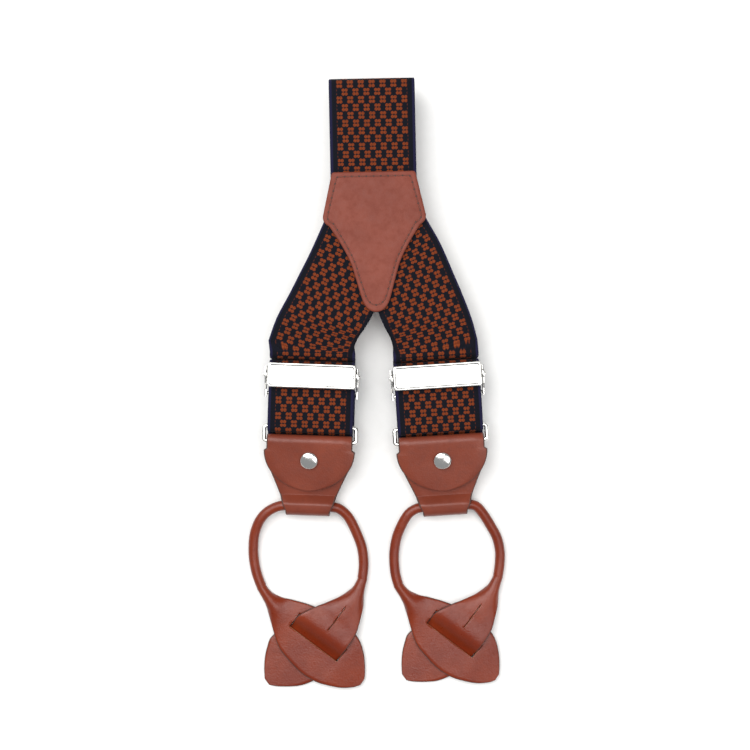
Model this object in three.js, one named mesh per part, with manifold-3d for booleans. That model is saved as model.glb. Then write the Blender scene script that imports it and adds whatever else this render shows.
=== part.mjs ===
// Y-back dress suspenders, laid flat with their spare length folded underneath.
// Millimetres, +Z up, +Y towards the back strap. The origin is at the middle of the base.
import * as THREE from 'three';
import { mergeVertices } from 'three/addons/utils/BufferGeometryUtils.js';
import Module from 'manifold-3d';

const wasm = await Module();
wasm.setup();

// Webbing
const WEB_WIDTH = 35;
const WEB_THICK = 1.3;
const LAYER_GAP = 0.3;
const LAYER_PITCH = WEB_THICK + LAYER_GAP;

// Legs: the part of each front strap that lies straight, from the dip to the ring
const LEG_X = 26.8;
const LEG_Y = -20.1;
const LEFT_LEG_TURN = -2;
const RIGHT_LEG_TURN = 3.7;
const SPARE_LAYERS = 6;
const SPARE_TOP = 29.5;
const SPARE_BOTTOM = -1;
const DIP_Y = 31.1;
const DIP_HEIGHT = 15.1;
const DIP_RADIUS = 2.5;

// Rings
const RING_WIRE = 1.8;
const RING_OUTER_X = 39.6;
const RING_BAR_Y = 3;
const RING_CORNER = 1;
const WIRE_CLEARANCE = 0.25;

// Adjusters
const ADJUSTER_Y = 24;
const COVER_WIDTH = 36.1;
const COVER_LENGTH = 10.05;
const COVER_THICK = 1.2;
const COVER_CORNER = 1.4;
const EAR_THICK = 0.8;
const EAR_CLEARANCE = 0.25;
const PIN_RADIUS = 0.6;
const PIN_CLEARANCE = 0.3;
const BAR_RADIUS = 0.7;
const BAR_Y = 16.4;

// Leather
const LEATHER_THICK = 1.5;
const FLAP_HALF = 18.7;
const FLAP_DEPTH = 16.8;
const WRAP_HALF = 17.6;
const TUNNEL_HALF = 9;
const TUNNEL_Y = -27.7;
const LEATHER_DROOP = 16;
const RIVET_Y = -7.25;
const RIVET_CAP_RADIUS = 3.7;
const RIVET_CAP_HEIGHT = 1.5;
const RIVET_FLANGE_RADIUS = 3.2;
const RIVET_FLANGE_HEIGHT = 0.8;
const SHANK_RADIUS = 1;
const FIT_GAP = 0.3;

// Rolled loops
const CORD_RADIUS = 2.05;
const ROLL_THICK = 1;
const TAB_THICK = 1.4;
const TAB_LOW = 0.9;
const TAB_MIDDLE = 2.8;
const TAB_HIGH = 4.6;
const BUTTONHOLE_LENGTH = 11.7;
const BUTTONHOLE_WIDTH = 1.4;

// Shift that brings the outline's middle to the origin
const ORIGIN_X = -0.559;
const ORIGIN_Y = -0.047;

// Yoke and back strap
const YOKE_X = -0.2;
const YOKE_Y = 59.5;
const YOKE_TURN = 1.2;
const YOKE_LEATHER = 1.5;
const YOKE_STRAP_Z = 18;
const BACK_STRAP_TOP = 65;
const BACK_STRAP_END = 14.3;
const BACK_RING_Y = 8.5;
const BACK_END_Z = 8.3;
const BACK_TAIL = 3;
const STITCH_INSET = 1.9;
const THREAD_RADIUS = 0.25;

const UP = new THREE.Vector3(0, 0, 1);
const radians = THREE.MathUtils.degToRad;
const point = (x, y, z = 0) => new THREE.Vector3(x, y, z);

const navyWebbing = new THREE.MeshStandardMaterial({ color: 0x262c44, roughness: 0.9, metalness: 0 });
const tanLeather = new THREE.MeshStandardMaterial({ color: 0x9c5848, roughness: 0.6, metalness: 0 });
const nickel = new THREE.MeshStandardMaterial({ color: 0xd8d8d6, roughness: 0.15, metalness: 1 });
const thread = new THREE.MeshStandardMaterial({ color: 0x5a2f28, roughness: 0.9, metalness: 0 });
const cordCore = new THREE.MeshStandardMaterial({ color: 0xd9cfb8, roughness: 0.95, metalness: 0 });

// ---------------------------------------------------------------- solids

function indexedGeometry(vertices, triangles) {
  const geometry = new THREE.BufferGeometry();
  const positions = vertices.flatMap((vertex) => [vertex.x, vertex.y, vertex.z]);
  geometry.setAttribute('position', new THREE.Float32BufferAttribute(positions, 3));
  geometry.setIndex(triangles.flat());
  return facingOut(geometry);
}

// Flips every triangle if the closed surface encloses a negative volume.
function facingOut(geometry) {
  const position = geometry.attributes.position;
  const index = geometry.index;
  const a = point(0, 0);
  const b = point(0, 0);
  const c = point(0, 0);
  let volume = 0;
  for (let i = 0; i < index.count; i += 3) {
    a.fromBufferAttribute(position, index.getX(i));
    b.fromBufferAttribute(position, index.getX(i + 1));
    c.fromBufferAttribute(position, index.getX(i + 2));
    volume += a.dot(b.cross(c));
  }
  if (volume < 0) {
    for (let i = 0; i < index.count; i += 3) {
      const first = index.getX(i);
      index.setX(i, index.getX(i + 1));
      index.setX(i + 1, first);
    }
  }
  return geometry;
}

// Joins sections, each a ring of points, into a closed skin. A closed path has no ends;
// an open one is capped with the triangles that capFaces lists for one section.
function skin(sections, capFaces, closedPath = false) {
  const count = sections[0].length;
  const vertices = sections.flat();
  const triangles = [];
  const spans = closedPath ? sections.length : sections.length - 1;
  for (let s = 0; s < spans; s += 1) {
    const here = s * count;
    const next = ((s + 1) % sections.length) * count;
    for (let i = 0; i < count; i += 1) {
      const j = (i + 1) % count;
      triangles.push([here + i, here + j, next + j], [here + i, next + j, next + i]);
    }
  }
  if (!closedPath) {
    const last = (sections.length - 1) * count;
    capFaces.forEach(([a, b, c]) => {
      triangles.push([a, c, b], [last + a, last + b, last + c]);
    });
  }
  return indexedGeometry(vertices, triangles);
}

// A strip between two rows of points: the section runs along the top row and back along the bottom.
function band(stations, closedPath = false) {
  const sections = stations.map(({ top, bottom }) => [...top, ...[...bottom].reverse()]);
  const across = stations[0].top.length;
  const capFaces = [];
  for (let i = 0; i + 1 < across; i += 1) {
    const under = 2 * across - 1 - i;
    capFaces.push([i, i + 1, under - 1], [i, under - 1, under]);
  }
  return skin(sections, capFaces, closedPath);
}

function tube(path, radius, sides, closedPath = false) {
  const sections = path.map((here, i) => {
    const before = path[closedPath ? (i + path.length - 1) % path.length : Math.max(i - 1, 0)];
    const after = path[closedPath ? (i + 1) % path.length : Math.min(i + 1, path.length - 1)];
    const along = after.clone().sub(before).normalize();
    const across = point(along.y, -along.x).normalize();
    const up = across.clone().cross(along).normalize();
    return Array.from({ length: sides }, (_, k) => {
      const turn = (2 * Math.PI * k) / sides;
      return here.clone()
        .addScaledVector(across, radius * Math.cos(turn))
        .addScaledVector(up, radius * Math.sin(turn));
    });
  });
  const capFaces = [];
  for (let k = 1; k + 1 < sides; k += 1) {
    capFaces.push([0, k, k + 1]);
  }
  return skin(sections, capFaces, closedPath);
}

function solidOf(geometry) {
  const bare = geometry.clone();
  bare.deleteAttribute('normal');
  bare.deleteAttribute('uv');
  const merged = mergeVertices(bare, 1e-4);
  return new wasm.Manifold(new wasm.Mesh({
    numProp: 3,
    vertProperties: new Float32Array(merged.attributes.position.array),
    triVerts: new Uint32Array(merged.index.array),
  }));
}

function geometryOf(solid) {
  const mesh = solid.getMesh();
  const geometry = new THREE.BufferGeometry();
  geometry.setAttribute('position', new THREE.Float32BufferAttribute(mesh.vertProperties, 3));
  geometry.setIndex(Array.from(mesh.triVerts));
  return geometry;
}

function cut(geometry, ...tools) {
  return geometryOf(tools.reduce((solid, tool) => solid.subtract(solidOf(tool)), solidOf(geometry)));
}

function join(...geometries) {
  return geometryOf(geometries.map(solidOf).reduce((sum, solid) => sum.add(solid)));
}

function rod(radius, from, to, sides = 12) {
  const length = from.distanceTo(to);
  const along = to.clone().sub(from).normalize();
  const geometry = new THREE.CylinderGeometry(radius, radius, length, sides);
  geometry.applyQuaternion(new THREE.Quaternion().setFromUnitVectors(point(0, 1), along));
  geometry.translate(...from.clone().add(to).multiplyScalar(0.5));
  return geometry;
}

function slab(sizeX, sizeY, sizeZ, x, y, z) {
  return new THREE.BoxGeometry(sizeX, sizeY, sizeZ).translate(x, y, z);
}

// A flat plate cut to a shape in XY, from z low to z high.
function plate(shape, low, high, segments = 5) {
  const options = { depth: high - low, bevelEnabled: false, curveSegments: segments };
  return new THREE.ExtrudeGeometry(shape, options).translate(0, 0, low);
}

// A cheek cut to a profile in YZ, from x low to x high.
function cheek(profile, low, high) {
  const shape = new THREE.Shape(profile.map(([y, z]) => new THREE.Vector2(y, z)));
  const geometry = new THREE.ExtrudeGeometry(shape, { depth: high - low, bevelEnabled: false });
  const yToX = new THREE.Matrix4().makeBasis(point(0, 1, 0), point(0, 0, 1), point(1, 0, 0));
  return geometry.applyMatrix4(yToX).translate(low, 0, 0);
}

// ---------------------------------------------------------------- webbing and folded leather

// Follows corners [y, z, radius] in a vertical plane and rounds each corner with an arc.
function roundedPath(corners, stepDegrees = 30) {
  const points = corners.map(([y, z]) => new THREE.Vector2(y, z));
  const path = [points[0].clone()];
  for (let i = 1; i + 1 < points.length; i += 1) {
    const into = points[i].clone().sub(points[i - 1]).normalize();
    const out = points[i + 1].clone().sub(points[i]).normalize();
    const turn = Math.atan2(into.cross(out), into.dot(out));
    const radius = corners[i][2];
    const setBack = radius * Math.tan(Math.abs(turn) / 2);
    const start = points[i].clone().addScaledVector(into, -setBack);
    const side = new THREE.Vector2(-into.y, into.x).multiplyScalar(Math.sign(turn));
    const centre = start.clone().addScaledVector(side, radius);
    const steps = Math.max(1, Math.ceil(Math.abs(turn) / radians(stepDegrees)));
    for (let k = 0; k <= steps; k += 1) {
      path.push(start.clone().rotateAround(centre, (turn * k) / steps));
    }
  }
  path.push(points.at(-1).clone());
  return path.filter((here, i) => i === 0 || here.distanceTo(path[i - 1]) > 1e-3);
}

// Stations of a strip whose middle follows a path in the YZ plane; halfWidth is a number or a
// function of the place along the path, from 0 to 1.
function foldedStations(path, thick, halfWidth, shiftX = 0) {
  const lengths = [0];
  path.slice(1).forEach((here, i) => lengths.push(lengths[i] + here.distanceTo(path[i])));
  return path.map((here, i) => {
    const before = path[Math.max(i - 1, 0)];
    const after = path[Math.min(i + 1, path.length - 1)];
    const into = here.clone().sub(before).normalize();
    const out = after.clone().sub(here).normalize();
    const along = into.clone().add(out).normalize();
    const widen = 1 / Math.max(along.dot(i === 0 ? out : into), 0.7);
    const normal = point(0, -along.y, along.x).multiplyScalar((thick / 2) * widen);
    const half = typeof halfWidth === 'function' ? halfWidth(lengths[i]) : halfWidth;
    const left = point(shiftX - half, here.x, here.y);
    const right = point(shiftX + half, here.x, here.y);
    return {
      top: [left.clone().add(normal), right.clone().add(normal)],
      bottom: [left.clone().sub(normal), right.clone().sub(normal)],
    };
  });
}

function moved(stations, matrix) {
  const move = (row) => row.map((vertex) => vertex.clone().applyMatrix4(matrix));
  return stations.map(({ top, bottom }) => ({ top: move(top), bottom: move(bottom) }));
}

// ---------------------------------------------------------------- one front leg

const layerZ = (layer) => WEB_THICK / 2 + layer * LAYER_PITCH;
const returnZ = layerZ(SPARE_LAYERS);
const wireWrap = RING_WIRE / 2 + WIRE_CLEARANCE + WEB_THICK / 2;
const ringZ = returnZ + wireWrap;
const barWrap = BAR_RADIUS + 0.2 + WEB_THICK / 2;
const barZ = returnZ + barWrap;
const runZ = barZ + barWrap + LAYER_PITCH;
const runTop = runZ + WEB_THICK / 2;
const pinZ = runTop + 1.5;
const coverBottom = runTop + 1.95;
const leatherWrap = RING_WIRE / 2 + FIT_GAP + LEATHER_THICK / 2;
const rollRadius = CORD_RADIUS - ROLL_THICK / 2;
const tunnelWrap = CORD_RADIUS + FIT_GAP + LEATHER_THICK / 2;
const tunnelZ = tunnelWrap - leatherWrap;

const legMatrix = (x, y, turn) => new THREE.Matrix4().makeRotationZ(radians(turn)).setPosition(x, y, 0);

// The strap from the dip, through the spare layers folded below, to the wrap around the ring.
function legPath() {
  const corners = [[DIP_Y + DIP_RADIUS, DIP_HEIGHT, 0], [DIP_Y, DIP_HEIGHT, DIP_RADIUS]];
  corners.push([DIP_Y, layerZ(0), LAYER_PITCH]);
  const foldRadius = LAYER_PITCH / 2;
  for (let layer = 0; layer + 1 < SPARE_LAYERS; layer += 1) {
    const end = layer % 2 === 0 ? SPARE_BOTTOM : SPARE_TOP;
    corners.push([end, layerZ(layer), foldRadius], [end, layerZ(layer + 1), foldRadius]);
  }
  corners.push([SPARE_TOP, layerZ(SPARE_LAYERS - 1), foldRadius]);
  corners.push([SPARE_TOP, runZ, LAYER_PITCH]);
  corners.push([BAR_Y - 7, runZ, 2]);
  corners.push([RING_BAR_Y + 0.4, ringZ + wireWrap, 2]);
  corners.push([RING_BAR_Y - wireWrap, ringZ + wireWrap, wireWrap]);
  corners.push([RING_BAR_Y - wireWrap, returnZ, wireWrap]);
  corners.push([RING_BAR_Y + 0.6, returnZ, 0]);
  return roundedPath(corners);
}

// The diagonal part is flat: each station joins a point on the outer edge to one on the inner edge.
// Its rows run as the leg's do, where a strap going towards -Y has its first row underneath.
function flatStations(pairs, heightAt) {
  return pairs.map(([outerX, outerY, innerX, innerY]) => {
    const rise = point(0, 0, WEB_THICK / 2);
    const outer = point(outerX, outerY, heightAt(outerY));
    const inner = point(innerX, innerY, heightAt(innerY));
    const row = outerX < innerX ? [outer, inner] : [inner, outer];
    return {
      top: row.map((vertex) => vertex.clone().sub(rise)),
      bottom: row.map((vertex) => vertex.clone().add(rise)),
    };
  });
}

const diagonalStart = 28;
const diagonalEnd = LEG_Y + DIP_Y + DIP_RADIUS;
const diagonalHeight = (y) => {
  const share = THREE.MathUtils.clamp((diagonalStart - y) / (diagonalStart - diagonalEnd), 0, 1);
  return THREE.MathUtils.lerp(YOKE_STRAP_Z, DIP_HEIGHT, share);
};

const leftDiagonal = [
  [-18.1, 73, -0.3, 64.7],
  [-20.95, 66.5, -0.3, 56.8],
  [-24.2, 59.1, -0.3, 47.9],
  [-27.4, 52.2, -0.3, 39.5],
  [-30.75, 45.6, -0.1, 31.4],
  [-34.9, 37.4, -3.6, 24.4],
  [-40.1, 27.6, -6.9, 19.5],
  [-43.6, 18.3, -8.6, 15.9],
];
const rightDiagonal = [
  [18.1, 73, 0.3, 64.7],
  [21, 67.5, 0.3, 57.4],
  [25.8, 59.1, 0.3, 47.9],
  [29, 52.2, 0.3, 39.5],
  [31.8, 45.6, 0.9, 31.2],
  [35.3, 37.4, 3.5, 24.2],
  [39.1, 27.6, 6, 19.6],
  [41.6, 18.9, 7.2, 15.6],
];

function frontStrap(pairs, legFrame) {
  const leg = moved(foldedStations(legPath(), WEB_THICK, WEB_WIDTH / 2), legFrame);
  return band([...flatStations(pairs, diagonalHeight), ...leg]);
}

function returnStrand(shiftX) {
  const corners = [
    [RING_BAR_Y + 0.6 + FIT_GAP + 0.1, returnZ, 0],
    [BAR_Y + barWrap, returnZ, barWrap],
    [BAR_Y + barWrap, barZ + barWrap, barWrap],
    [BAR_Y - 3, barZ + barWrap, 2],
    [BAR_Y - 5.4, barZ + barWrap - 0.9, 2],
    [BAR_Y - 7.6, barZ + barWrap - 1.3, 0],
  ];
  return band(foldedStations(roundedPath(corners), WEB_THICK, WEB_WIDTH / 2, shiftX));
}

// ---------------------------------------------------------------- adjuster

const earInner = COVER_WIDTH / 2 + EAR_CLEARANCE;
const earOuter = earInner + EAR_THICK;

function adjusterFrame() {
  const baseTop = runZ - WEB_THICK / 2 - FIT_GAP;
  const armLow = barZ - 1.4;
  const armHigh = barZ + 1.4;
  const profile = [
    [BAR_Y - 1.4, armLow], [BAR_Y + 2.6, armLow], [BAR_Y + 4.4, baseTop - 1], [27.4, baseTop - 1],
    [27.4, runTop], [ADJUSTER_Y + 1.6, runTop + 0.4], [ADJUSTER_Y + 1.2, pinZ + 0.9],
    [ADJUSTER_Y, pinZ + 1.3], [ADJUSTER_Y - 1.2, pinZ + 0.9], [ADJUSTER_Y - 1.6, runTop + 0.4],
    [BAR_Y + 3.6, runTop], [BAR_Y + 1.6, armHigh], [BAR_Y - 1.4, armHigh],
  ];
  const base = slab(2 * earInner + EAR_THICK, 6.6, 1, 0, 24, baseTop - 0.5);
  const frame = join(base, cheek(profile, -earOuter, -earInner), cheek(profile, earInner, earOuter));
  const across = (radius, y, z) => rod(radius, point(-earOuter - 1, y, z), point(earOuter + 1, y, z));
  return cut(frame, across(PIN_RADIUS + PIN_CLEARANCE, ADJUSTER_Y, pinZ),
    across(BAR_RADIUS + PIN_CLEARANCE, BAR_Y, barZ));
}

function roundedRectangle(width, length, corner) {
  const x = width / 2;
  const y = length / 2;
  const shape = new THREE.Shape();
  shape.moveTo(-x + corner, -y);
  shape.lineTo(x - corner, -y);
  shape.absarc(x - corner, -y + corner, corner, -Math.PI / 2, 0);
  shape.lineTo(x, y - corner);
  shape.absarc(x - corner, y - corner, corner, 0, Math.PI / 2);
  shape.lineTo(-x + corner, y);
  shape.absarc(-x + corner, y - corner, corner, Math.PI / 2, Math.PI);
  shape.lineTo(-x, -y + corner);
  shape.absarc(-x + corner, -y + corner, corner, Math.PI, 1.5 * Math.PI);
  return shape;
}

// A lever plate with two cheeks for the pins and an edge that grips the webbing.
function adjusterCover() {
  const outline = roundedRectangle(COVER_WIDTH, COVER_LENGTH, COVER_CORNER);
  const top = plate(outline, coverBottom, coverBottom + COVER_THICK, 4).translate(0, ADJUSTER_Y, 0);
  const low = runTop + 0.4;
  const profile = [
    [ADJUSTER_Y - 1.7, low + 0.5], [ADJUSTER_Y - 1.2, low], [ADJUSTER_Y + 1.2, low],
    [ADJUSTER_Y + 1.7, low + 0.5], [ADJUSTER_Y + 1.7, coverBottom + 0.5],
    [ADJUSTER_Y - 1.7, coverBottom + 0.5],
  ];
  const outer = COVER_WIDTH / 2;
  const cheeks = [cheek(profile, -outer, -outer + EAR_THICK), cheek(profile, outer - EAR_THICK, outer)];
  const grip = slab(WEB_WIDTH - 3, 1, 1.9, 0, ADJUSTER_Y - 2.6, coverBottom - 0.65);
  const across = rod(PIN_RADIUS + PIN_CLEARANCE, point(-outer - 1, ADJUSTER_Y, pinZ),
    point(outer + 1, ADJUSTER_Y, pinZ));
  return cut(join(top, ...cheeks, grip), across);
}

function coverPin(side) {
  const outer = side * (earOuter + 0.7);
  const inner = side * (COVER_WIDTH / 2 - EAR_THICK - 0.2);
  return rod(PIN_RADIUS, point(outer, ADJUSTER_Y, pinZ), point(inner, ADJUSTER_Y, pinZ));
}

function adjusterBar() {
  return rod(BAR_RADIUS, point(-earOuter, BAR_Y, barZ), point(earOuter, BAR_Y, barZ));
}

// ---------------------------------------------------------------- ring, leather end and rivet

function wireRing() {
  const wire = RING_WIRE / 2;
  const outline = roundedRectangle(RING_OUTER_X - RING_WIRE, 2 * RING_BAR_Y, RING_CORNER);
  const path = outline.getPoints(2).map(({ x, y }) => point(x, y));
  const open = path.filter((here, i) => i === 0 || here.distanceTo(path[i - 1]) > 1e-3);
  if (open[0].distanceTo(open.at(-1)) < 1e-3) {
    open.pop();
  }
  return tube(open, wire, 8, true);
}

// Half width of the leather along its length: round flap, ring fold, taper, tunnel, tongue.
function leatherPath() {
  return [
    [TUNNEL_Y + 7.4, leatherWrap, 0],
    [leatherWrap, leatherWrap, leatherWrap],
    [leatherWrap, -leatherWrap, leatherWrap],
    [TUNNEL_Y - tunnelWrap, -leatherWrap, tunnelWrap],
    [TUNNEL_Y - tunnelWrap, tunnelZ + tunnelWrap, tunnelWrap],
    [TUNNEL_Y + 1.9, tunnelZ + tunnelWrap, 0.8],
    [TUNNEL_Y + 4.4, 0, 1],
    [-5, 0, 0],
  ];
}

const taper = [[0, WRAP_HALF], [-12.4, 16.2], [-19.8, 13.1], [-24.3, 11.3], [-28.8, TUNNEL_HALF + 0.2]];

function taperHalf(y) {
  const next = taper.findIndex(([place]) => place < y);
  if (next === 0) {
    return WRAP_HALF;
  }
  if (next < 0) {
    return TUNNEL_HALF;
  }
  const [highY, highHalf] = taper[next - 1];
  const [lowY, lowHalf] = taper[next];
  return THREE.MathUtils.mapLinear(y, highY, lowY, highHalf, lowHalf);
}

function flapHalf(y) {
  const middle = TUNNEL_Y + 7.4 + FLAP_DEPTH;
  const share = THREE.MathUtils.clamp((middle - y) / FLAP_DEPTH, 0, 0.995);
  return y > middle ? WRAP_HALF : FLAP_HALF * Math.sqrt(1 - share * share);
}

// Adds places along the straight stretches, so that the outline can curve there.
function withPlaces(path, step) {
  return path.flatMap((here, i) => {
    if (i === 0) {
      return [here];
    }
    const before = path[i - 1];
    const parts = Math.max(1, Math.round(here.distanceTo(before) / step));
    return Array.from({ length: parts }, (_, k) => before.clone().lerp(here, (k + 1) / parts));
  });
}

function leatherEnd() {
  const path = withPlaces(roundedPath(leatherPath(), 30), 3);
  const stations = foldedStations(path, LEATHER_THICK, 1);
  let turned = false;
  stations.forEach(({ top, bottom }, i) => {
    turned = turned || path[i].x > leatherWrap - 0.01;
    const half = turned ? taperHalf(path[i].x) : flapHalf(path[i].x);
    [top, bottom].forEach(([left, right]) => {
      left.setX(-half);
      right.setX(half);
    });
  });
  return cut(band(stations), rod(SHANK_RADIUS + FIT_GAP, point(0, RIVET_Y, -8), point(0, RIVET_Y, 8)));
}

const rivetTop = leatherWrap + LEATHER_THICK / 2 + 0.2;

function rivetCap() {
  const profile = [
    [SHANK_RADIUS + FIT_GAP, 0], [RIVET_CAP_RADIUS, 0], [RIVET_CAP_RADIUS * 0.97, 0.5],
    [RIVET_CAP_RADIUS * 0.8, 1], [RIVET_CAP_RADIUS * 0.5, 1.35], [0, RIVET_CAP_HEIGHT],
    [0, 0.8], [SHANK_RADIUS + FIT_GAP, 0.8], [SHANK_RADIUS + FIT_GAP, 0],
  ];
  const points = profile.map(([x, y]) => new THREE.Vector2(x, y));
  return new THREE.LatheGeometry(points, 16).rotateX(Math.PI / 2).translate(0, RIVET_Y, rivetTop);
}

function rivetPost() {
  const profile = [
    [0, -RIVET_FLANGE_HEIGHT], [RIVET_FLANGE_RADIUS, -RIVET_FLANGE_HEIGHT],
    [RIVET_FLANGE_RADIUS, 0], [SHANK_RADIUS, 0], [SHANK_RADIUS, 2 * rivetTop + 0.5],
    [0, 2 * rivetTop + 0.5],
  ];
  const points = profile.map(([x, y]) => new THREE.Vector2(x, y));
  return new THREE.LatheGeometry(points, 12).rotateX(Math.PI / 2).translate(0, RIVET_Y, -rivetTop);
}

// ---------------------------------------------------------------- rolled loops and button tabs

// One section of the leather strip: an arc of the given angle and chord, flat when the angle is
// tiny. Its ends lie on the line from left to right when the strip is flat.
function stripStation(centre, across, chord, curl, thick, segments = 6) {
  const radius = chord / 2 / Math.sin(curl / 2);
  const lift = (radius * (1 + Math.cos(curl / 2))) / 2;
  const row = (offset) => Array.from({ length: segments + 1 }, (_, i) => {
    const angle = curl * (i / segments - 0.5);
    return centre.clone()
      .addScaledVector(across, (radius + offset) * Math.sin(angle))
      .addScaledVector(UP, (radius + offset) * Math.cos(angle) - lift);
  });
  return { top: row(thick / 2), bottom: row(-thick / 2) };
}

const ROLL_CURL = radians(325);
const FLAT_CURL = 0.02;
const rolledChord = 2 * rollRadius * Math.sin(ROLL_CURL / 2);

function rolledStation(centre, along) {
  const across = point(-along.y, along.x).normalize();
  return stripStation(centre, across, rolledChord, ROLL_CURL, ROLL_THICK);
}

// Button tab stations: left x, y, right x, y, height and curl, in the loop's own frame.
const tabA = [
  [-16.2, -44.5, -12.2, -38.3, 2.5, 2.2],
  [-14.4, -51.3, -7, -39.3, 2.75, 0.5],
  [-11.9, -58.6, 0, -41.2, TAB_MIDDLE, 0.1],
  [-7.4, -64.4, 6.1, -43.9, TAB_MIDDLE, FLAT_CURL],
  [-2.5, -69.3, 12.3, -48, TAB_MIDDLE, FLAT_CURL],
  [2.9, -72.6, 18, -52.1, TAB_MIDDLE, FLAT_CURL],
  [7.8, -74.2, 21.3, -56.6, TAB_MIDDLE, FLAT_CURL],
  [13.9, -75.4, 23, -62.7, 2.3, FLAT_CURL],
  [18.9, -75.2, 23.4, -68.9, 1.7, FLAT_CURL],
  [21.7, -74.4, 23.2, -72.2, 1.4, FLAT_CURL],
];
const slitStart = [-7.8, -50];
const slitEnd = [11.9, -64.8];
const slitOpening = 6.5;
const slitSide = [0.6, 0.8];
const slitAlong = [0.8, -0.6];
const slitInset = 0.5;
const slitPlace = (end, inset, rise) => [0, 1].map((axis) =>
  end[axis] + slitAlong[axis] * inset + slitSide[axis] * rise);
const slitStation = (rise, height) => [...slitPlace(slitStart, slitInset, rise),
  ...slitPlace(slitEnd, -slitInset, rise), height, FLAT_CURL];
const tabB = [
  [15.6, -36.8, 22.4, -41, 3.5, 2.2],
  [7.8, -40.2, 20.9, -48.4, 4.4, 0.5],
  [3.2, -41.9, 19.3, -53.3, TAB_HIGH, 0.1],
  slitStation(slitOpening - 0.5, TAB_HIGH),
  slitStation(0.5, TAB_LOW),
  [-12.3, -52.5, 6.6, -69.7, TAB_LOW, FLAT_CURL],
  [-15.6, -55.4, 2.1, -72.6, TAB_LOW, FLAT_CURL],
  [-16.8, -58.6, -2.5, -74.4, TAB_LOW, FLAT_CURL],
  [-17.8, -62.7, -6.6, -75, TAB_LOW, FLAT_CURL],
  [-18.2, -67.7, -12.7, -75, TAB_LOW, FLAT_CURL],
  [-18, -72.2, -16.4, -74.4, TAB_LOW, FLAT_CURL],
];
const rollEndA = [-17.6, -37.3, 2.35];
const rollEndB = [21.7, -34, 2.6];

// side lists the cord's places from the tunnel's mouth to the last one before the tab.
function rolledPath(left, right, tunnelHeight, turn, scale) {
  const mouth = point(TUNNEL_HALF + 0.8, 0).applyAxisAngle(UP, radians(turn));
  const mouthRight = mouth.clone().setZ(tunnelHeight);
  const mouthLeft = mouth.clone().negate().setZ(tunnelHeight);
  const place = ([x, y, z]) => point(x, y, z);
  const endA = point(rollEndA[0] * scale[0], rollEndA[1] * scale[1], rollEndA[2]);
  const endB = point(rollEndB[0] * scale[0], rollEndB[1] * scale[1], rollEndB[2]);
  const sideA = [mouthLeft, ...left.map(place), endA].reverse();
  const sideB = [mouthRight, ...right.map(place), endB];
  const middle = mouthLeft.clone().lerp(mouthRight, 0.5);
  const curve = new THREE.CatmullRomCurve3([...sideA, middle, ...sideB], false, 'centripetal');
  return curve;
}

function tabStations(rows, scale) {
  return rows.map(([leftX, leftY, rightX, rightY, height, curl]) => {
    const left = point(leftX * scale[0], leftY * scale[1], height);
    const right = point(rightX * scale[0], rightY * scale[1], height);
    const across = right.clone().sub(left);
    const chord = across.length();
    return stripStation(left.lerp(right, 0.5), across.normalize(), chord, curl, TAB_THICK);
  });
}

// Reverses a section's rows. The roll's rows run right to left where it goes towards +Y, as at tab A.
const swapped = ({ top, bottom }) => ({ top: [...top].reverse(), bottom: [...bottom].reverse() });

function slitTool(scale) {
  const corners = [
    slitPlace(slitStart, 0, 0), slitPlace(slitEnd, 0, 0),
    slitPlace(slitEnd, 0, slitOpening), slitPlace(slitStart, 0, slitOpening),
  ];
  const shape = new THREE.Shape(corners.map(([x, y]) => new THREE.Vector2(x * scale[0], y * scale[1])));
  return plate(shape, -1, 12);
}

function buttonholeTool(scale) {
  const middle = [11.9 * scale[0], -46.6 * scale[1]];
  return slab(BUTTONHOLE_LENGTH, BUTTONHOLE_WIDTH, 12, 0, 0, 4)
    .rotateZ(radians(53.5)).translate(middle[0], middle[1], 0);
}

const ROLL_STEP = 4;

function buttonLoop(curve, scale) {
  const count = Math.round(curve.getLength() / ROLL_STEP);
  const places = curve.getSpacedPoints(count);
  const rolled = places.map((here, i) => {
    const before = places[Math.max(i - 1, 0)];
    const after = places[Math.min(i + 1, count)];
    return rolledStation(here, after.clone().sub(before).normalize());
  });
  const middle = 3;
  const startTab = tabStations(tabA, scale).reverse().map(swapped);
  const endTab = tabStations(tabB, scale);
  const partA = band([...startTab, ...rolled.slice(0, middle + 1)]);
  const partB = band([...rolled.slice(middle), ...endTab]);
  return join(cut(partA, slitTool(scale)), cut(partB, buttonholeTool(scale)));
}

function loopCore(curve) {
  const count = Math.round(curve.getLength() / ROLL_STEP);
  return tube(curve.getSpacedPoints(count), rollRadius - ROLL_THICK / 2 - FIT_GAP, 6);
}

// ---------------------------------------------------------------- yoke and back strap

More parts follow.
